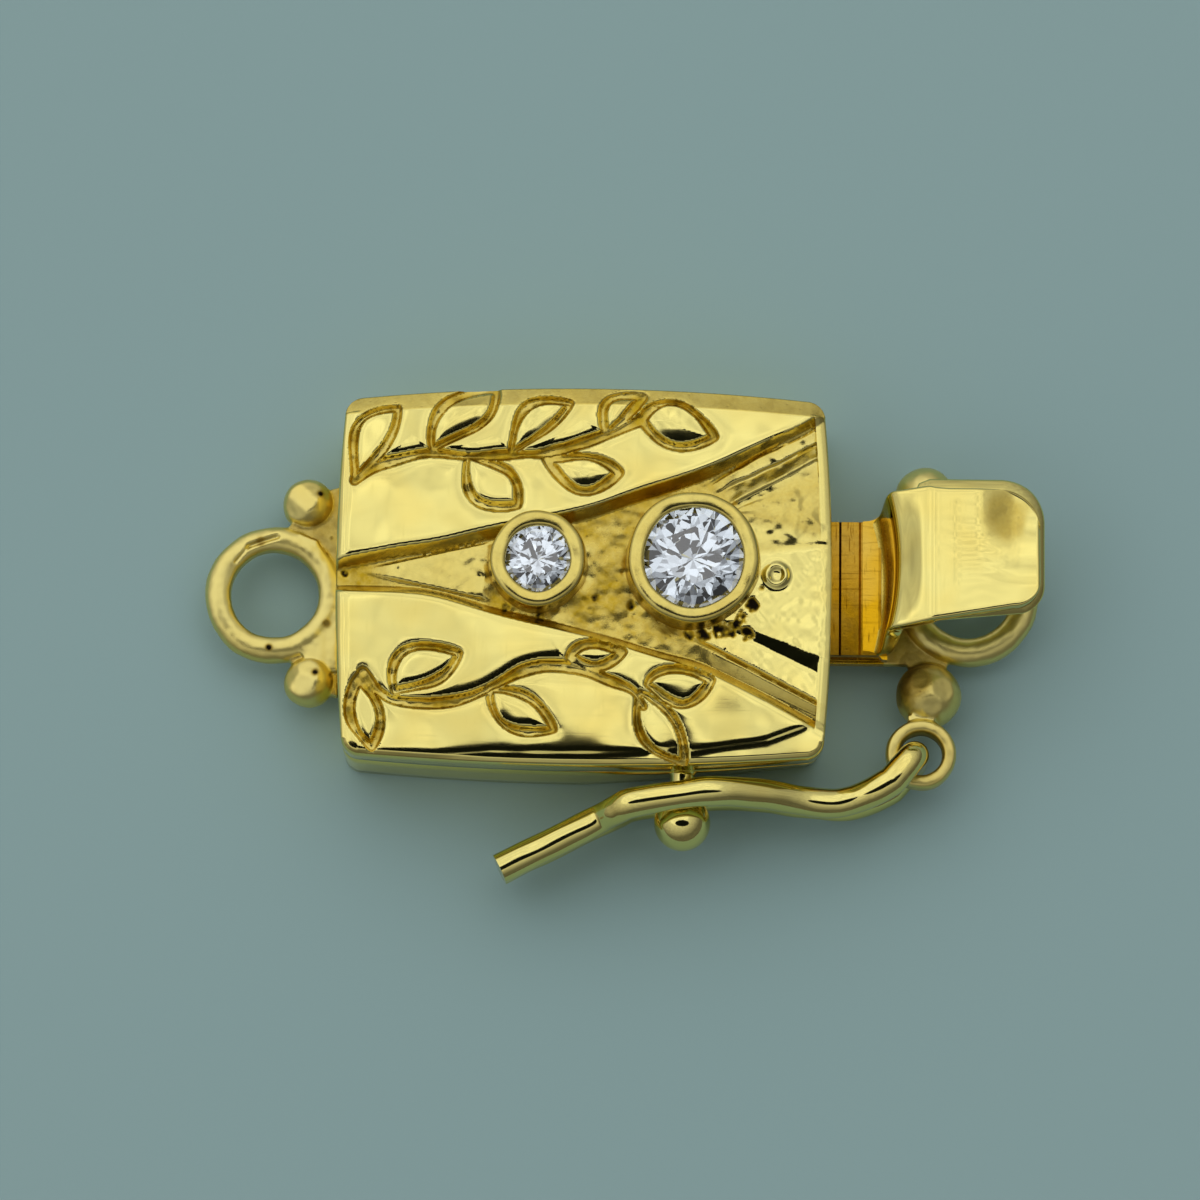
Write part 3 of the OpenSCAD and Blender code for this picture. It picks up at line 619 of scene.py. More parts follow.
# A cone under each stone, clear of its point
for (at_x, at_y), stone_d, stone_top in ((LARGE_AT, LARGE_D, LARGE_TOP),
                                         (SMALL_AT, SMALL_D, SMALL_TOP)):
    off = np.hypot(x - at_x, y - at_y)
    girdle_h = stone_top - GIRDLE_DROP - CASE_H
    seat = CASE_H + 0.03 + girdle_h * np.clip(off / (stone_d / 2) - 0.1, 0, 1)
    top = np.where(off < stone_d / 2, np.minimum(top, seat - 0.05), top)

# How dull the metal is and how much shade is painted on it as deeper gold: most in the channel,
# its walls and the grooves
dull_and_shade_rays = folded(x, waver, RAYS, RAY_NEAR_X, RAY_FAR_X, 3)
dull_and_shade_wedge = folded(x, y, WEDGE, WEDGE_NEAR_X, WEDGE_FAR_X, 3)
floor_dull_and_shade = 0.7 + 0.3 * dapple(x, y, 0.7, 8) + 0.15 * dapple(x, y, 0.2, 10)
floor_dull_and_shade += (dull_and_shade_wedge - floor_dull_and_shade) * wedge_in
floor_dull_and_shade += (dull_and_shade_rays - floor_dull_and_shade) * rays_in
hollow = np.where(in_channel, down * floor_dull_and_shade, 0)
hollow = np.where(in_channel & (channel_gap < CHANNEL_WALL), 0.75 * down, hollow)
hollow = np.maximum(hollow, in_groove * (0.66 + 0.4 * dapple(x, y, 0.5, 9)) * ~in_channel)
hollow = np.where(at_tongue_end, np.minimum(hollow, 0.1), hollow).clip(0, 2)
# Painted shade: the channel's black places.
hollow = np.where(in_channel, hollow + (2 - hollow) * black_shade, hollow)
# Painted reflection: the back bevel's deeper gold.
hollow = np.where(at_back, np.maximum(hollow, BACK_EDGE_DULL_AND_SHADE), hollow)


def tiled(heights):
    """Two triangles per cell, split along the diagonal that rises least."""
    number = np.arange(heights.size).reshape(heights.shape)
    a, b, c, d = (corner.ravel() for corner in (number[:-1, :-1], number[1:, :-1],
                                                number[1:, 1:], number[:-1, 1:]))
    level = heights.ravel()
    first = (np.abs(level[a] - level[c]) <= np.abs(level[b] - level[d]))[:, None]
    return np.vstack([np.where(first, np.stack([a, b, c], 1), np.stack([a, b, d], 1)),
                      np.where(first, np.stack([a, c, d], 1), np.stack([b, c, d], 1))])


def dulled_and_shaded(made, values):
    """Stores on each point how dull it is and how much shade is painted on it as deeper gold."""
    marks = made.data.attributes.new("hollow", "FLOAT", "POINT")
    shade = np.zeros(len(made.data.vertices), np.float32)
    shade[:len(values)] = values
    marks.data.foreach_set("value", shade)
    return made


# The skin of the top, with a skirt of four rings down to the tray and a flat underside
points_at = np.arange(top.size).reshape(top.shape)
rim_loop = np.concatenate([points_at[:-1, 0], points_at[-1, :-1], points_at[:0:-1, -1],
                           points_at[0, :0:-1]])
skin = np.column_stack([x.ravel(), y.ravel(), top.ravel()])
loop_plan, loop_top = skin[rim_loop][:, :2], skin[rim_loop][:, 2]
skirt = [np.column_stack([loop_plan, SKIRT_LOW + (loop_top - SKIRT_LOW) * share_up])
         for share_up in (0.66, 0.33, 0)]
skirt.append(at_height(loop_plan * (1 - 0.03 / half_size), CASE_H))
faces = tiled(top).tolist()
above = rim_loop
for k in range(len(skirt)):
    below = len(skin) + k * len(rim_loop) + np.arange(len(rim_loop))
    faces += np.stack([above, below, np.roll(below, -1), np.roll(above, -1)], 1).tolist()
    above = below
faces.append(above[::-1].tolist())
cover = dulled_and_shaded(blank("cover_casting", np.vstack([skin] + skirt), faces), hollow.ravel())
finished(cover, polished_gold, "case", ["cover"], crease=75)

# ---------------------------------------------------------------- Bezels and stones
# Each clear stone is a round brilliant held by a plain tube bezel, soldered in the channel and
# rubbed over the stone's edge by hand, which leaves the rim soft and a little uneven.

BEZEL_T, BEZEL_LIP = 0.36, 0.07
# A stone's table and lower facets as shares of its radius, its crown as a share of its width
TABLE_SHARE, LOWER_SHARE, CROWN_SHARE = 0.55, 0.24, 0.15
GIRDLE_T = 0.06
RECUT_SHARE = 0.006
STONE_COLOUR = (0.82, 0.91, 1)


def turned(profile, centre, sides=96, uneven=0.0, seed=0):
    """A closed cross-section of radius and height rows, turned round an upright axis."""
    wave = np.random.default_rng(seed).uniform(0, 2 * math.pi, 3)
    rings = []
    for i in range(sides):
        turn = 2 * math.pi * i / sides
        swell = uneven * (math.sin(turn + wave[0]) + 0.7 * math.sin(2 * turn + wave[1])
                          + 0.5 * math.sin(5 * turn + wave[2]))
        rings.append([(centre[0] + (r + swell) * math.cos(turn),
                       centre[1] + (r + swell) * math.sin(turn), z) for r, z in profile])
    count = len(profile)
    faces = [[i * count + j, ((i + 1) % sides) * count + j,
              ((i + 1) % sides) * count + (j + 1) % count, i * count + (j + 1) % count]
             for i in range(sides) for j in range(count)]
    return np.array(rings).reshape(-1, 3), faces


def brilliant(centre, width, top_z, depth):
    """Points and faces of a round brilliant: 33 facets above the girdle and 24 below it."""
    r, base = width / 2, top_z - GIRDLE_DROP
    table_r, culet_z = r * TABLE_SHARE, base - width * depth
    crown_z = base + GIRDLE_T + width * CROWN_SHARE
    half_turn = math.cos(math.pi / 8)
    slope = (crown_z - base - GIRDLE_T) / (r - table_r)
    middle_r = table_r + 0.5 * (r - table_r) / half_turn
    middle_z = crown_z - (middle_r * half_turn - table_r) * slope
    lower_r = LOWER_SHARE * r / half_turn
    lower_z = culet_z + lower_r * half_turn * (base - culet_z) / r

    def circle(radius, height, count, start=0.0):
        """Even points round a level circle."""
        turns = [start + 2 * math.pi * i / count for i in range(count)]
        return [(centre[0] + radius * math.cos(turn), centre[1] + radius * math.sin(turn), height)
                for turn in turns]

    points = (circle(table_r, crown_z, 8) + circle(middle_r, middle_z, 8, math.pi / 8)
              + circle(r, base + GIRDLE_T, 16) + circle(r, base, 16)
              + circle(lower_r, lower_z, 8, math.pi / 8) + [(*centre, culet_z)])
    table, middle, girdle, keel, lower, culet = 0, 8, 16, 32, 48, 56
    faces = [list(range(8))]
    for k in range(8):
        after, before = (k + 1) % 8, (k - 1) % 8
        g0, g1, g2 = 2 * k, 2 * k + 1, (2 * k + 2) % 16
        faces += [[table + k, middle + k, table + after],
                  [table + k, middle + before, girdle + g0, middle + k],
                  [middle + k, girdle + g0, girdle + g1], [middle + k, girdle + g1, girdle + g2],
                  [lower + k, keel + g1, keel + g0], [lower + k, keel + g2, keel + g1],
                  [culet, lower + k, keel + g0, lower + before]]
    faces += [[girdle + i, keel + i, keel + (i + 1) % 16, girdle + (i + 1) % 16] for i in range(16)]
    return points, faces


def recut(points, seed, amount):
    """Moves the stone's corners a little, as on one cut by hand, which breaks up its star."""
    dice = np.random.default_rng(seed)
    points = np.array(points, float)
    points[8:16] += dice.uniform(-amount, amount, (8, 3)) * (1, 1, 0.4)
    points[48:] += dice.uniform(-amount, amount, (len(points) - 48, 3)) * (2, 2, 1)
    return points


def places(made, kind="co"):
    """The points of an object, or their normals, as rows of x, y, z."""
    rows = np.empty(len(made.data.vertices) * 3, np.float32)
    made.data.vertices.foreach_get(kind, rows)
    return rows.reshape(-1, 3)


def dented(made, depth, size):
    """Soft uneven spots over a hand-worked surface, that deep and about that wide."""
    normals = [vertex.normal.copy() for vertex in made.data.vertices]
    for vertex, normal in zip(made.data.vertices, normals):
        vertex.co += normal * (depth * noise.noise(vertex.co / size))
    return made


def even_finish(name, colour, **constants):
    """A finish that is even all over. Each constant's name is its socket's, with _ for a space."""
    material = bpy.data.materials.new(name)
    material.use_nodes = True
    shader = material.node_tree.nodes["Principled BSDF"]
    shader.inputs["Base Color"].default_value = (*colour, 1)
    for socket, value in constants.items():
        shader.inputs[socket.replace("_", " ")].default_value = value
    return material


clear_stone = even_finish("clear_stone", STONE_COLOUR, Roughness=0, IOR=2.35, Transmission_Weight=1)

# Each stone: its name, place, width, height, and how deep it is below its girdle as a share of
# its width. The bezel's wall is drawn up outside, over the rounded rim and down to the stone's
# seat, and its gold goes from satin at the rim to painted shade, deep and then black, at the foot.
for size_name, at, width, stone_top, depth in (("large", LARGE_AT, LARGE_D, LARGE_TOP, 0.42),
                                               ("small", SMALL_AT, SMALL_D, SMALL_TOP, 0.43)):
    inner, outer = width / 2, width / 2 + BEZEL_T
    lip_r = inner - BEZEL_LIP
    wall = [(outer + 0.12, -1.4), (outer + 0.05, -0.6)]
    wall += [(outer - 0.2 + 0.2 * math.sin(a), -0.14 + 0.14 * math.cos(a))
             for a in np.linspace(math.pi / 2, 0, 9)]
    wall += [(inner + 0.09, -0.002), (inner + 0.02, -0.01), (lip_r + 0.03, -0.03), (lip_r, -0.07),
             (lip_r, -0.2), (inner + 0.02, -0.24), (inner + 0.02, -0.5), (inner - 0.2, -0.8),
             (inner - 0.5, -1.4)]
    wall = [(r, stone_top + z) for r, z in wall]
    seed = len(size_name)
    bezel = blank(size_name + "_bezel", *turned(wall, at, 144, uneven=0.022, seed=seed))
    dented(bezel, 0.035, 0.7)
    # Painted shade: deeper gold, then black, down the bezel towards the channel.
    below = stone_top - 0.45 - places(bezel)[:, 2]
    dulled_and_shaded(bezel, 0.32 + 0.65 * eased(below / 0.25) + 0.8 * eased((below - 0.2) / 0.2))
    finished(bezel, polished_gold, "case", crease=60)
    stone_points, stone_faces = brilliant(at, width, stone_top, depth)
    stone_points = recut(stone_points, seed, RECUT_SHARE * width)
    stone = worked(blank(size_name + "_brilliant", stone_points, stone_faces), "TRIANGULATE")
    finished(stone, clear_stone, "case", [size_name + "_stone"], crease=0.5)

# ---------------------------------------------------------------- End ring
# The fixed end is one casting soldered to the case wall: a round-wire ring for the chain, two
# balls beside it and a thin matte web between them.

RING_Z, RING_HOLE_R = 1.0, 1.25
END_RING_AT, END_TUBE_R = (-8.8, -0.15), 0.39
# Each ball: x, y, radius and its worn flats
END_BALLS = [(-7.88, 2.5, 0.72, [(-0.3, 0.1, 0.8), (-0.7, -0.3, 0.84), (0.1, 0.5, 0.88)]),
             (-7.78, -2.66, 0.72, [(-0.35, -0.1, 0.82), (-0.1, 0.4, 0.86), (-0.9, 0.2, 0.86)])]
# The web's outline, and its thick part level with the ring beside the wall
END_WEB = [(-6.96, 3), (-7.6, 2.8), (-8.2, 2.15), (-8.7, 1.35), (-8.7, -1.65), (-8.1, -2.35),
           (-7.55, -2.95), (-6.96, -3.1)]
END_BRIDGE = [(-6.96, 0.2), (-7.6, 1.4), (-8.1, 1.6), (-7.9, 0), (-7.9, -1.1), (-8.1, -1.75),
              (-7.7, -2.3), (-6.96, -2.4)]
WEB_LOW, WEB_TOP, BRIDGE_TOP = RING_Z - 0.25, RING_Z + 0.2, RING_Z + 0.36
# Spots painted dark or black on the casting: x, y, z, how far each reaches and how black it is
END_SPOTS = [(-7.5, 2.73, 1.6, 0.1, 2), (-7.6, -2.45, 1.66, 0.09, 2), (-8.93, -1.72, 1.4, 0.08, 2),
             (-9.2, 1.35, 1.4, 0.1, 1), (-7.3, -1.0, 1.4, 0.09, 1.4), (-7.35, 1.0, 1.2, 0.06, 1.4),
             (-7.2, 1.5, 1.2, 0.05, 1.4), (-7.5, 1.7, 1.2, 0.2, 0.9)]
# Grooves left by casting: from x, y to x, y, how wide and how deep
END_CRACKS = [(-9.55, 1.2, -8.75, 1.5, 0.07, 0.1), (-9.9, 0.75, -9.55, 1.2, 0.05, 0.05)]
# How finely the castings are built up again as one skin
CAST_VOXEL = 0.036


def full_turn(count):
    """That many even angles once round."""
    return np.linspace(0, 2 * math.pi, count, endpoint=False)


def squared(wave, power):
    """A sine or cosine drawn out towards its ends, which squares off a round section."""
    return math.copysign(abs(wave) ** power, wave)


def ring_wire(centre, tube_r):
    """A ring of round wire, flattened a little on top and round its hole."""
    profile = [(max(RING_HOLE_R, RING_HOLE_R + tube_r - 0.05 + tube_r * math.cos(a)),
                RING_Z + tube_r * squared(math.sin(a), 0.8)) for a in full_turn(32)]
    return turned(profile, centre, 144)


def ball(x, y, r, worn=()):
    """A ball with worn flats, each given by its x and y lean and its share of the radius."""
    circle = np.column_stack([np.cos(full_turn(60)), np.sin(full_turn(60))])
    rings = [r * at_height(math.sin(a) * circle, -math.cos(a))
             for a in np.linspace(0.03, math.pi - 0.03, 36)]
    for lean_x, lean_y, share in worn:
        file_dir = np.array([lean_x, lean_y, 1]) / np.linalg.norm([lean_x, lean_y, 1])
        rings = [ring - np.outer(np.maximum(ring @ file_dir - share * r, 0), file_dir)
                 for ring in rings]
    return loft([ring + (x, y, RING_Z) for ring in rings])


def web(outline, low, high, ring_at=None):
    """A flat web with that outline, cut round so that the ring's hole stays open."""
    made = blank("web", *loft([at_height(outline, z) for z in (low, high)]))
    if ring_at:
        circle = np.column_stack([np.cos(full_turn(64)), np.sin(full_turn(64))])
        plan = np.array(ring_at) + (RING_HOLE_R + 0.2) * circle
        cut(made, blank("hole", *loft([at_height(plan, z) for z in (low - 1, high + 1)])))
    points = [tuple(vertex.co) for vertex in made.data.vertices]
    faces = [list(face.vertices) for face in made.data.polygons]
    bpy.data.objects.remove(made)
    return points, faces


def cast_in_one(name, parts, passes, dents, cracks=()):
    """The parts melted into one skin, smoothed, with soft dents and the grooves of the casting."""
    points, faces = [], []
    for part_points, part_faces in parts:
        start = len(points)
        points += np.asarray(part_points).tolist()
        faces += [[start + i for i in face] for face in part_faces]
    made = blank(name, points, faces)
    worked(made, "REMESH", mode="VOXEL", voxel_size=CAST_VOXEL)
    worked(made, "SMOOTH", factor=0.5, iterations=passes)
    dented(made, dents, 0.8)
    dented(made, dents * 0.25, 0.2)
    spots, normals = places(made), places(made, "normal")
    for x0, y0, x1, y1, wide, deep in cracks:
        gap = nearest_on(spots[:, :2], np.array([(x0, y0), (x1, y1)]))[1]
        down = deep * np.exp(-(gap / wide) ** 2) * (normals[:, 2] > 0.2)
        spots = spots - normals * down[:, None]
    made.data.vertices.foreach_set("co", spots.ravel())
    made.data.update()
    return made


def shade_spotted(made, spots, web_top, web_dull_and_shade=0.75):
    """Marks the web's sunken faces as dull, with painted shade, and the spots as dark or black."""
    at, normals = places(made), places(made, "normal")
    sunken = (normals[:, 2] > 0.85) & (at[:, 2] < web_top) & (at[:, 2] > web_top - 0.5)
    shade = web_dull_and_shade * sunken
    for x, y, z, reach, black in spots:
        off = (((at - (x, y, z)) / reach) ** 2).sum(1)
        shade = np.maximum(shade, np.minimum(black, 4 * np.exp(-off)))
    return dulled_and_shaded(made, shade)


end_parts = [ring_wire(END_RING_AT, END_TUBE_R), web(END_WEB, WEB_LOW, WEB_TOP, END_RING_AT),
             web(END_BRIDGE, WEB_LOW, BRIDGE_TOP, END_RING_AT)]
end_parts += [ball(*row) for row in END_BALLS]
end_casting = cast_in_one("end_casting", end_parts, 14, 0.035, END_CRACKS)
shade_spotted(end_casting, END_SPOTS, WEB_TOP + 0.04)
# Painted shade: the castings' hollow colour, laid on the sunken web and the spots, is deeper gold.
cast_gold = gold_finish("cast_gold", (0.8, 0.68, 0.23), (0.52, 0.38, 0.08), 0.32, 0.42, frost=0.12)
finished(end_casting, cast_gold, "case", ["end_ring"], crease=80)

# ---------------------------------------------------------------- Tongue casting
# The moving end carries a like casting: a ring and two balls on a web soldered to the tongue's
# lower leaf, with a small flat ring on the front ball that the safety catch hooks into.

TONGUE_RING_AT, TONGUE_TUBE_R = (10.9, 0.0), 0.42
TONGUE_BALLS = [(9.7, 2.86, 0.85),
                (9.8, -2.9, 0.93, [(0.5, 0.1, 0.93), (0.1, -0.5, 0.95), (-0.3, 0.4, 0.94)])]
# Spots painted dark or black on the casting, as on the end ring; the last is painted shadow in the
# flat ring's hole.
TONGUE_SPOTS = [(9.3, -2.0, 1.1, 0.3, 1.3), (9.5, -2.2, 1.3, 0.3, 1), (9.35, -2.6, 1.65, 0.4, 1.25),
                (9.05, -2.9, 1.2, 0.3, 1.2), (8.95, -5.2, 1.7, 0.1, 2),
                (9.58, -3.95, 1.1, 0.3, 1.2), (9.58, -4.66, 1.0, 0.62, 2)]
TONGUE_WEB = [(8.5, -2), (9.2, -2), (9.5, -2.7), (10.2, -2.7), (10.4, -1.8), (10.4, 1.8),
              (10.1, 2.6), (9.4, 2.6), (9.1, 2), (8.5, 2)]
LEAF_Z, LEAF_T = 0.7, 0.4
HINGE_AT = (9.58, -4.66)
HINGE_OUT_R, HINGE_HOLE_R = 1.0, 0.6
HINGE_LOW, HINGE_HIGH = 0.95, 1.72
# The short neck between the front ball and the flat ring
HINGE_NECK = [(9.23, -3.95), (9.93, -3.95), (9.98, -3.55), (9.18, -3.55)]
NECK_LOW, NECK_HIGH = 1.02, 1.58

middle = (HINGE_OUT_R + HINGE_HOLE_R) / 2
thick, tall = (HINGE_OUT_R - HINGE_HOLE_R) / 2, (HINGE_HIGH - HINGE_LOW) / 2
hinge_profile = [(middle + thick * squared(math.cos(a), 0.55),
                  HINGE_LOW + tall + tall * squared(math.sin(a), 0.55)) for a in full_turn(32)]
tongue_parts = [ring_wire(TONGUE_RING_AT, TONGUE_TUBE_R), turned(hinge_profile, HINGE_AT, 144),
                web(TONGUE_WEB, LEAF_Z + 0.04, LEAF_Z + LEAF_T, TONGUE_RING_AT),
                web(HINGE_NECK, NECK_LOW, NECK_HIGH)]
tongue_parts += [ball(*row) for row in TONGUE_BALLS]
tongue_casting = cast_in_one("tongue_casting", tongue_parts, 5, 0.03)
shade_spotted(tongue_casting, TONGUE_SPOTS, LEAF_Z + LEAF_T + 0.04, 0.9)
finished(tongue_casting, cast_gold, "tongue", ["tongue_ring", "hinge_ring"], crease=80)

# ---------------------------------------------------------------- Tongue
# The tongue is one strip of hard gold folded back over itself, painted deep orange-brown as shade.
# The lower leaf stays flat; the upper one is the spring, with a step that catches behind the end
# wall and a flat neck.

LEAF_W, SPRING_W, SPRING_T = 4.0, 3.85, 0.35
TONGUE_IN, TONGUE_OUT = 1.0, 8.6
FOLD_Z = LEAF_Z + LEAF_T + 0.03
FOLD_R = (FOLD_Z + SPRING_T - LEAF_Z) / 2
NECK_TOP, NECK_END = 2.05, 8.42
CATCH_X, CATCH_TOP = 6.28, 2.44
LEAF_START = -TONGUE_IN + 0.02
# Scored lines across the neck: x and how deep
SCORES = [(7.26, 0.07), (7.82, 0.03)]
SCORE_HALF = 0.035
# One side of the neck's flared foot, seen from above
FLARE_SIDE = [(7.9, 1.93), (8.1, 1.95), (8.25, 2.0), (8.38, 2.1), (8.46, 2.2), (8.6, 2.22)]

# Painted shade: the deep orange and darker brown stand for the shade and light bounced between the
# end wall and the thumb piece.
tongue_gold = gold_finish("tongue_gold", (0.82, 0.46, 0.01), (0.38, 0.18, 0.005), 0.25, 0.4,
                          frost=0.3, scratches=5)


def strip(name, side_view, width, edge=0.05):
    """A strip with that side view, given as x, z rows, with its long edges eased."""
    outline = np.array(side_view)
    rings = []
    half, part = width / 2, edge * 0.3
    for y, inset in ((-half, edge), (-half + part, part), (-half + edge, 0),
                     (half - edge, 0), (half - part, part), (half, edge)):
        ring = shrunk(outline, inset)
        rings.append(np.column_stack([ring[:, 0], np.full(len(ring), y), ring[:, 1]]))
    return blank(name, *loft(rings))


def shrunk(outline, inset):
    """A closed outline moved inwards by inset, square to its runs."""
    before, after = outline - np.roll(outline, 1, 0), np.roll(outline, -1, 0) - outline
    before /= np.linalg.norm(before, axis=1)[:, None]
    after /= np.linalg.norm(after, axis=1)[:, None]
    along = before + after
    along /= np.linalg.norm(along, axis=1)[:, None]
    (x, y), (next_x, next_y) = outline.T, np.roll(outline, -1, 0).T
    turning = math.copysign(1, (x * next_y - next_x * y).sum())
    inward = np.column_stack([-along[:, 1], along[:, 0]]) * turning
    return outline + inward * inset


fold = [(-TONGUE_IN - FOLD_R * math.sin(a), LEAF_Z + FOLD_R + FOLD_R * math.cos(a))
        for a in np.linspace(0.25, math.pi, 9)]
leaf_side = [(TONGUE_OUT, LEAF_Z), (TONGUE_OUT, LEAF_Z + LEAF_T), (-TONGUE_IN, LEAF_Z + LEAF_T)]
lower_leaf = strip("lower_leaf", leaf_side + fold, LEAF_W)
finished(lower_leaf, tongue_gold, "tongue", ["tongue_plate"], crease=25)

spring_over = [(NECK_END, NECK_TOP + 0.05), (8.3, NECK_TOP + 0.01), (8.15, NECK_TOP)]
for score_x, score_d in sorted(SCORES, reverse=True):
    spring_over += [(score_x + SCORE_HALF, NECK_TOP), (score_x, NECK_TOP - score_d),
                    (score_x - SCORE_HALF, NECK_TOP)]
spring_over += [(CATCH_X, NECK_TOP), (CATCH_X - 0.02, CATCH_TOP), (CATCH_X - 0.4, CATCH_TOP),
                (LEAF_START + 0.5, FOLD_Z + SPRING_T), (LEAF_START, FOLD_Z + SPRING_T)]
spring_under = [(LEAF_START, FOLD_Z), (LEAF_START + 0.6, FOLD_Z),
                (CATCH_X - 0.3, CATCH_TOP - SPRING_T), (CATCH_X - 0.05, NECK_TOP - SPRING_T),
                (NECK_END, NECK_TOP - SPRING_T)]
spring = strip("spring", spring_over + spring_under, SPRING_W, 0.03)
# Painted shade: the whole spring gets deeper gold, and the scored lines go black.
score_shade = [max(25 * deep * math.exp(-((spot[0] - score_x) / 0.03) ** 2)
                  for score_x, deep in SCORES) for spot in places(spring)]
dulled_and_shaded(spring, np.maximum(score_shade, 0.6))
finished(spring, tongue_gold, "thumb", ["spring_leaf"], crease=25)

flare_plan = np.array(FLARE_SIDE + [(x, -0.93 * y) for x, y in FLARE_SIDE[::-1]])
flare_rings = [at_height(flare_plan, z) for z in (NECK_TOP - SPRING_T, NECK_TOP + 0.025)]
# Painted shade: a little deeper gold on the flare.
flare = dulled_and_shaded(blank("neck_flare", *loft(flare_rings)), [0.1] * 2 * len(flare_plan))
finished(flare, tongue_gold, "thumb", crease=25)

# ---------------------------------------------------------------- Thumb piece
# A thick polished tab on the spring's end: it rises from the neck, leans over and ends in a flat
# plate, filed by hand, with a slightly wider plate soldered under it. Pressing it frees the tongue.

PLATE_TOP, PLATE_T = 3.95, 0.5
PLATE_END = 12.85
RIM_LOW, RIM_HIGH = 3.2, 3.58
RISER_BOW = 0.26
# Along the tab's top from the neck: x, height, front and back edge, and thickness
THUMB_PATH = [
    (8.08, 2.06, -1.86, 1.88, 0.3), (8.22, 2.09, -1.9, 1.98, 0.3), (8.34, 2.2, -1.94, 2.12, 0.32),
    (8.41, 2.45, -1.84, 2.26, 0.38), (8.46, 2.8, -1.64, 2.4, 0.44), (8.53, 3.15, -1.45, 2.5, 0.48),
    (8.68, 3.38, -1.38, 2.56, 0.5), (9.0, 3.56, -1.35, 2.58, 0.5), (9.5, 3.8, -1.28, 2.62, 0.5),
    (9.72, 3.9, -1.24, 2.62, 0.5), (9.9, 3.945, -1.21, 2.58, 0.5), (10.3, 3.95, -1.15, 2.55, 0.5)]


def filed(x, y):
    """How far the file has taken down the plate's top: a few wavy strokes and a hollowed corner."""
    strokes = np.exp(-((x - 11.05) / 0.75) ** 2 - ((y - 1.0) / 1.15) ** 2)
    phase = 2 * math.pi * (y / 0.36 + 0.45 * dapple(x, y, 0.7, 21)) + dapple(x, y, 0.4, 22)
    wave = 0.0055 * np.sin(phase)
    edge = 0.008 * np.exp(-((x - 10.5) / 0.04) ** 2) * (np.abs(y - 1) < 1.2)
    corner = eased((x - 11.0) / 1.3) * eased((y + 0.3) / 2.2) * 0.3
    return strokes * (wave + 0.006) + edge + corner + 0.014 * dapple(x, y, 1.1, 23)


def tab_ring(x, z, back_lean, low_y, high_y, thickness, bow=0.0):
    """One rounded cross-section of the tab; its top lies at x, z, square to the way it runs."""
    down = np.array([math.sin(back_lean), -math.cos(back_lean)])
    round_r = min(0.09, 0.45 * (high_y - low_y), 0.45 * thickness)
    quarter = np.linspace(0, math.pi / 2, 5)
    side, rise = round_r * (1 - np.cos(quarter)), round_r * (1 - np.sin(quarter))
    level = np.linspace(high_y - round_r, low_y + round_r, 44)[1:-1]
    y = np.concatenate([high_y - side, level, low_y + side[::-1], low_y + side,
                        high_y - side[::-1]])
    depth = np.concatenate([rise, level * 0, rise[::-1], thickness - rise, thickness - rise[::-1]])
    top_x = x + down[0] * depth
    lowered = filed(top_x, y) * np.clip(1 - depth / 0.2, 0, 1)
    off_middle = (2 * y - low_y - high_y) / (high_y - low_y)
    return np.column_stack([top_x + bow * (1 - off_middle ** 2), y, z + down[1] * depth - lowered])


def tab_half(x, arc_x, arc_y, arc_r, straight_y, sign):
    """Where the plate's edge lies at x: straight, then round its corner."""
    if x <= arc_x:
        return straight_y
    return arc_y + sign * math.sqrt(max(arc_r ** 2 - (x - arc_x) ** 2, 0.0004))


thumb_rows = smooth_route(THUMB_PATH, 6)
thumb_rings = []
for k, (x, z, low_y, high_y, thickness) in enumerate(thumb_rows):
    before, after = thumb_rows[max(k - 1, 0)], thumb_rows[min(k + 1, len(thumb_rows) - 1)]
    lean = math.atan2(after[1] - before[1], after[0] - before[0])
    bow = RISER_BOW * (1 - float(eased((x - 8.7) / 0.9)))
    thumb_rings.append(tab_ring(x, z, lean, low_y, high_y, thickness, bow))
plate_rows = list(np.arange(10.36, 11.7, 0.06))
plate_rows += [11.7 + 1.15 * math.sin(a) for a in np.linspace(0.03, math.pi / 2, 30)]
for x in plate_rows:
    ease = max(0.0, x - (PLATE_END - 0.1))
    drop = 0.1 - math.sqrt(max(0.01 - ease ** 2, 0))
    low_y = tab_half(x, 12.1, -0.1, 0.75, -1.15 + (x - 10.3) * 0.17, -1)
    high_y = tab_half(x, 11.7, 1.4, 1.15, 2.55, 1)
    thumb_rings.append(tab_ring(x, PLATE_TOP - drop, 0, low_y, high_y, PLATE_T - drop))
thumb_tab = blank("thumb_tab", *loft(thumb_rings))
tab_at = places(thumb_tab)
# Painted reflection: the riser gets deeper gold for the orange neck it faces. A patch on the plate
# is painted darker as well.
riser = (1 - eased((tab_at[:, 2] - 2.3) / 0.9)) * (tab_at[:, 0] < 8.8)
patch = np.exp(-((tab_at[:, 0] - 11.9) / 0.75) ** 2 - ((tab_at[:, 1] - 1.75) / 0.8) ** 2)
patch = eased(1.6 * patch - 0.5 + 0.45 * dapple(tab_at[:, 0], tab_at[:, 1], 0.35, 24))
dulled_and_shaded(thumb_tab, np.maximum(0.6 * riser, 0.5 * patch))
finished(thumb_tab, polished_gold, "thumb", ["thumb_piece"], crease=50)

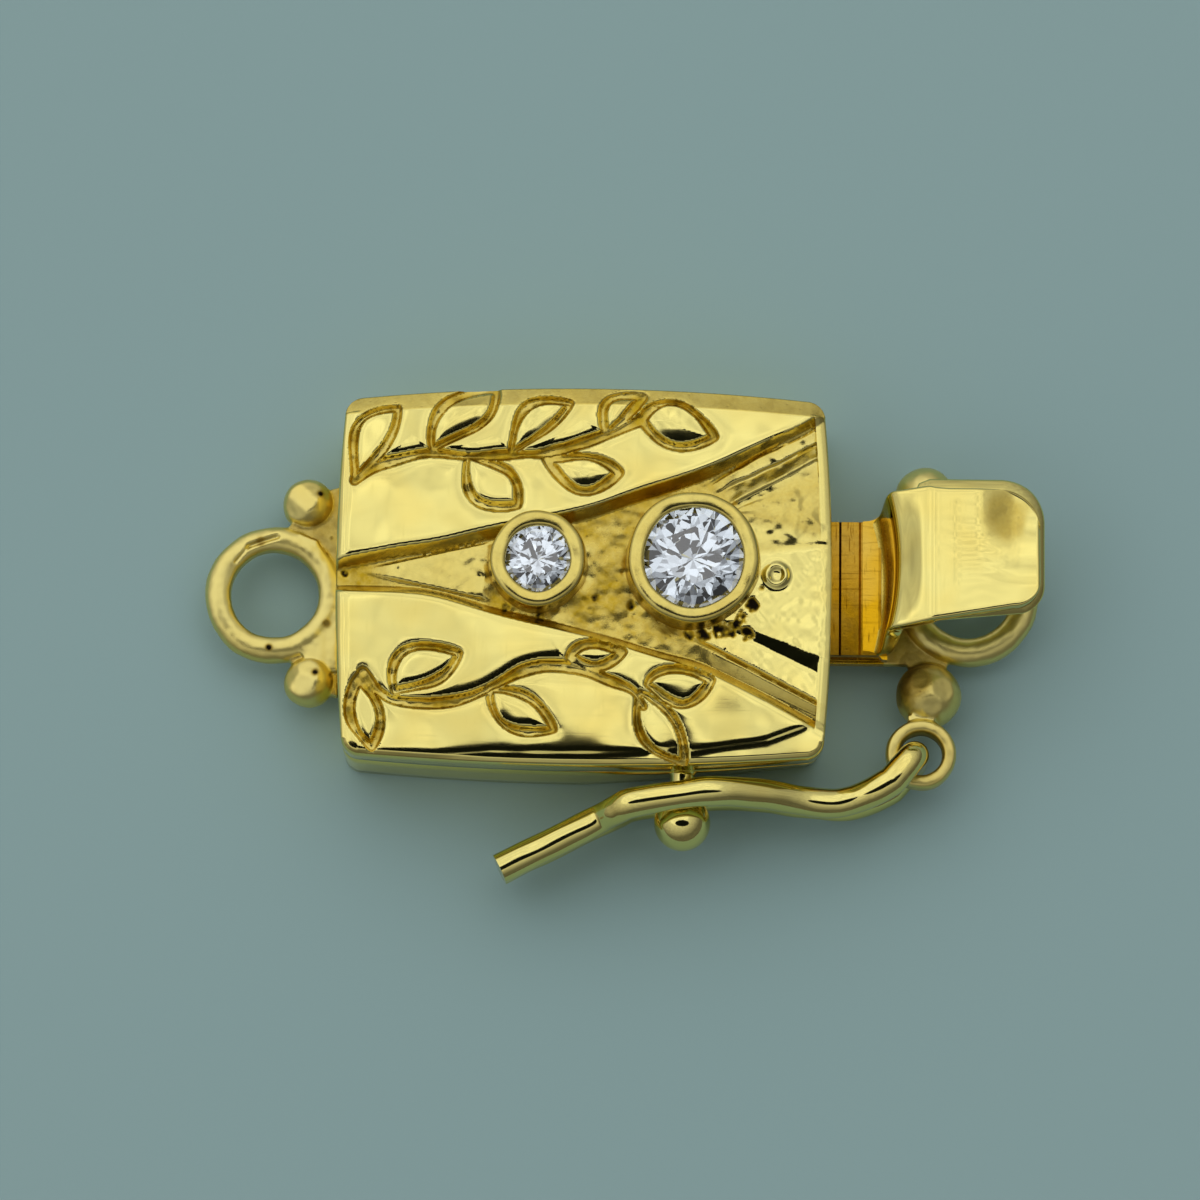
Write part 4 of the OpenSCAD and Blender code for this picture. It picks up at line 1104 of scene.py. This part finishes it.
rim_plan = [(9.3, -1.2)] + [(12.15 + 0.85 * math.cos(a), -0.1 + 0.85 * math.sin(a))
                            for a in np.radians(np.linspace(-75, 0, 12))]
rim_plan += [(11.75 + 1.25 * math.cos(a), 1.68 + 1.25 * math.sin(a))
             for a in np.radians(np.linspace(0, 90, 20))]
rim_plan = np.array(rim_plan + [(9.75, 2.93), (9.45, 2.8), (9.3, 2.5)])
rim_rings = [at_height(shrunk(rim_plan, inset), z)
             for inset, z in ((0.06, RIM_LOW), (0, RIM_LOW + 0.06), (0, RIM_HIGH - 0.32),
                              (0.015, RIM_HIGH - 0.295), (0.05, RIM_HIGH - 0.27), (0.4, RIM_HIGH))]
thumb_rim = dented(blank("thumb_rim", *loft(rim_rings)), 0.02, 0.8)
finished(thumb_rim, polished_gold, "thumb", crease=40)

# ---------------------------------------------------------------- Peg
# A short peg of gold wire with a ball head, soldered so that it stands straight out of the front
# wall. The two strands of the safety catch spring over its ball and hold on behind it.

PEG_X, PEG_Z, PEG_WALL_Y, PEG_BALL_Y = 2.83, 1.78, -5.2, -6.74
PEG_R, PEG_BALL_R = 0.35, 0.8

peg_profile = [(PEG_R + 0.12, 0.0), (PEG_R + 0.03, -0.12), (PEG_R, -0.2)]
peg_profile += [(PEG_BALL_R * math.sin(a), PEG_BALL_Y - PEG_WALL_Y + PEG_BALL_R * math.cos(a))
                for a in np.linspace(math.asin(PEG_R / PEG_BALL_R), math.pi - 0.04, 24)]
peg_rings = [np.array([(PEG_X + r * math.sin(b), PEG_WALL_Y + y, PEG_Z + r * math.cos(b))
                       for b in full_turn(48)]) for r, y in peg_profile]
finished(blank("peg", *loft(peg_rings)), polished_gold, "case", ["safety_peg"])

# ---------------------------------------------------------------- Safety catch
# One round gold wire, bent double: its middle is the eye in the hinge ring, its two strands open
# round the peg's ball and close again into a straight tail with both ends cut off.

WIRE_R, WIRE_SIDES = 0.42, 28
EYE_R = 0.45
# Along the catch from its tail: x, y of the upper strand, middle height, distance between the
# strands, and how much further back the lower one lies
CATCH_ROUTE = [
    (-2.31, -8.16, 1.75, 0.9, 0.1), (-1.26, -7.63, 1.75, 0.9, 0.1), (-0.11, -7.05, 1.75, 0.9, 0.1),
    (0.55, -6.7, 1.75, 1, 0.1), (1.0, -6.52, 1.76, 1.9, 0.18), (1.5, -6.36, 1.77, 2.46, 0.28),
    (2.83, -6.13, 1.77, 2.58, 0.3), (3.9, -6.02, 1.77, 2.4, 0.28), (5.05, -6.01, 1.65, 1.7, 0.2),
    (6.17, -6.1, 1.5, 1, 0.1), (7.03, -6.16, 1.4, 0.9, 0.08), (7.6, -6.07, 1.35, 1.1, 0.05),
    (8.17, -5.85, 1.33, 1.5, 0.02), (8.74, -5.53, 1.325, 1.71, 0)]

catch_x, catch_y, catch_z, apart, back = smooth_route(CATCH_ROUTE, 8).T
upper_strand = np.column_stack([catch_x, catch_y, catch_z + apart / 2])
lower_strand = np.column_stack([catch_x, catch_y + back, catch_z - apart / 2])
eye_end = np.array(HINGE_AT) + (-0.17, -0.1)
eye_dir = eye_end - upper_strand[-1, :2]
eye_dir /= np.linalg.norm(eye_dir)


def eye_bend(strand_z, sign):
    """The quarter turn from a strand's end into the upright part of the eye."""
    turns = np.linspace(0, math.pi / 2, 9)
    plan = eye_end - np.outer(EYE_R * (1 - np.sin(turns)), eye_dir)
    return np.column_stack([plan, strand_z - sign * EYE_R * (1 - np.cos(turns))])


def swept(path):
    """The round wire along a path, with its two cut ends slightly eased."""
    path = np.vstack([path[0], path[0] * 0.96 + path[1] * 0.04, path[1:-1],
                      path[-1] * 0.96 + path[-2] * 0.04, path[-1]])
    radii = np.full(len(path), WIRE_R)
    radii[[0, -1]] = WIRE_R - 0.06
    tangents = np.gradient(path, axis=0)
    tangents /= np.linalg.norm(tangents, axis=1)[:, None]
    side = np.cross(tangents[0], (0, 0, 1.0))
    rings = []
    for place, tangent, r in zip(path, tangents, radii):
        side = side - tangent * side.dot(tangent)
        side /= np.linalg.norm(side)
        up = np.cross(side, tangent)
        turns = full_turn(WIRE_SIDES)
        rings.append(place + r * (np.outer(np.cos(turns), side) + np.outer(np.sin(turns), up)))
    return loft(rings)


upper_eye = eye_bend(upper_strand[-1, 2], 1)
lower_eye = eye_bend(lower_strand[-1, 2], -1)
wire_path = np.vstack([upper_strand, upper_eye[1:], lower_eye[::-1][:-1], lower_strand[::-1]])
catch_wire = dented(blank("catch_wire", *swept(wire_path)), 0.035, 0.9)
finished(catch_wire, polished_gold, "safety", ["safety_catch"], crease=50)

# ---------------------------------------------------------------- Floor, light and camera
# The clasp lies on a pale matte floor in a light tent, which is brightest overhead and towards the
# back left. A dark oval board stands for the camera and its stand, which polished metal reflects.

LIGHT_FROM = (-0.25, 0.35, 0.9)
AIM = Vector((0.457, 0, 0))
ELEVATION = math.radians(79)
DISTANCE = 250
SENSOR = 36
IMAGE_W, PIXELS_PER_MM = 1200, 35
ROLL = math.radians(0.5)
BOARD_HALF_W, BOARD_HALF_H, BOARD_BEHIND = 140, 60, 12
FLOOR_REACH = 400
FLOOR_COLOUR = (0.362, 0.535, 0.533)

floor = blank("floor", [(FLOOR_REACH * x, FLOOR_REACH * y, 0)
                        for x, y in ((-1, -1), (1, -1), (1, 1), (-1, 1))], [[0, 1, 2, 3]])
floor.data.transform(Matrix.Scale(0.001, 4))
floor.data.materials.append(even_finish("floor_paper", FLOOR_COLOUR, Roughness=0.8,
                                        Specular_IOR_Level=0.2))

view_from = Vector((0, -math.cos(ELEVATION), math.sin(ELEVATION)))
board_at = view_from * (DISTANCE + BOARD_BEHIND)
facing = view_from.to_track_quat("Z", "Y").to_matrix().to_4x4()
board = blank("camera_board", [(BOARD_HALF_W * math.cos(a), BOARD_HALF_H * math.sin(a), 0)
                               for a in full_turn(48)], [list(range(48))])
board.data.transform(Matrix.Scale(0.001, 4) @ Matrix.Translation(board_at) @ facing)
board.data.materials.append(even_finish("camera_board", (0.01, 0.01, 0.01), Roughness=0.9,
                                        Specular_IOR_Level=0.2))
board.visible_camera = False

world = bpy.data.worlds.new("light_tent")
world.use_nodes = True
world.node_tree.nodes.clear()
tent = Shade(world.node_tree).node("TexCoord", out="Generated")
glow = tent.node("VectorMath", {"operation": "DOT_PRODUCT"},
                 {0: tent, 1: Vector(LIGHT_FROM).normalized()}, "Value")
glow = glow.ramp((0.0, 0.12), (0.3, 0.32), (0.55, 0.52), (0.74, 0.66), (0.8, 1.0), (1.0, 1.0))
glow = glow * (tent.speckle(13.0, 2.0) * 1.3 + 0.36)
backdrop = glow.node("Background", {}, {"Color": glow, "Strength": 1.03})
backdrop.node("OutputWorld", {}, {"Surface": backdrop})
bpy.context.scene.world = world
bpy.context.scene.view_settings.view_transform = "Standard"

lens = bpy.data.cameras.new("photo_eye")
lens.sensor_width = SENSOR
lens.lens = SENSOR * DISTANCE * PIXELS_PER_MM / IMAGE_W
lens.clip_start = 0.01
camera = bpy.data.objects.new("photo_eye", lens)
camera_at = Matrix.Translation((AIM + view_from * DISTANCE) * 0.001)
camera.matrix_world = camera_at @ facing @ Matrix.Rotation(ROLL, 4, "Z")
bpy.context.collection.objects.link(camera)
bpy.context.scene.camera = camera
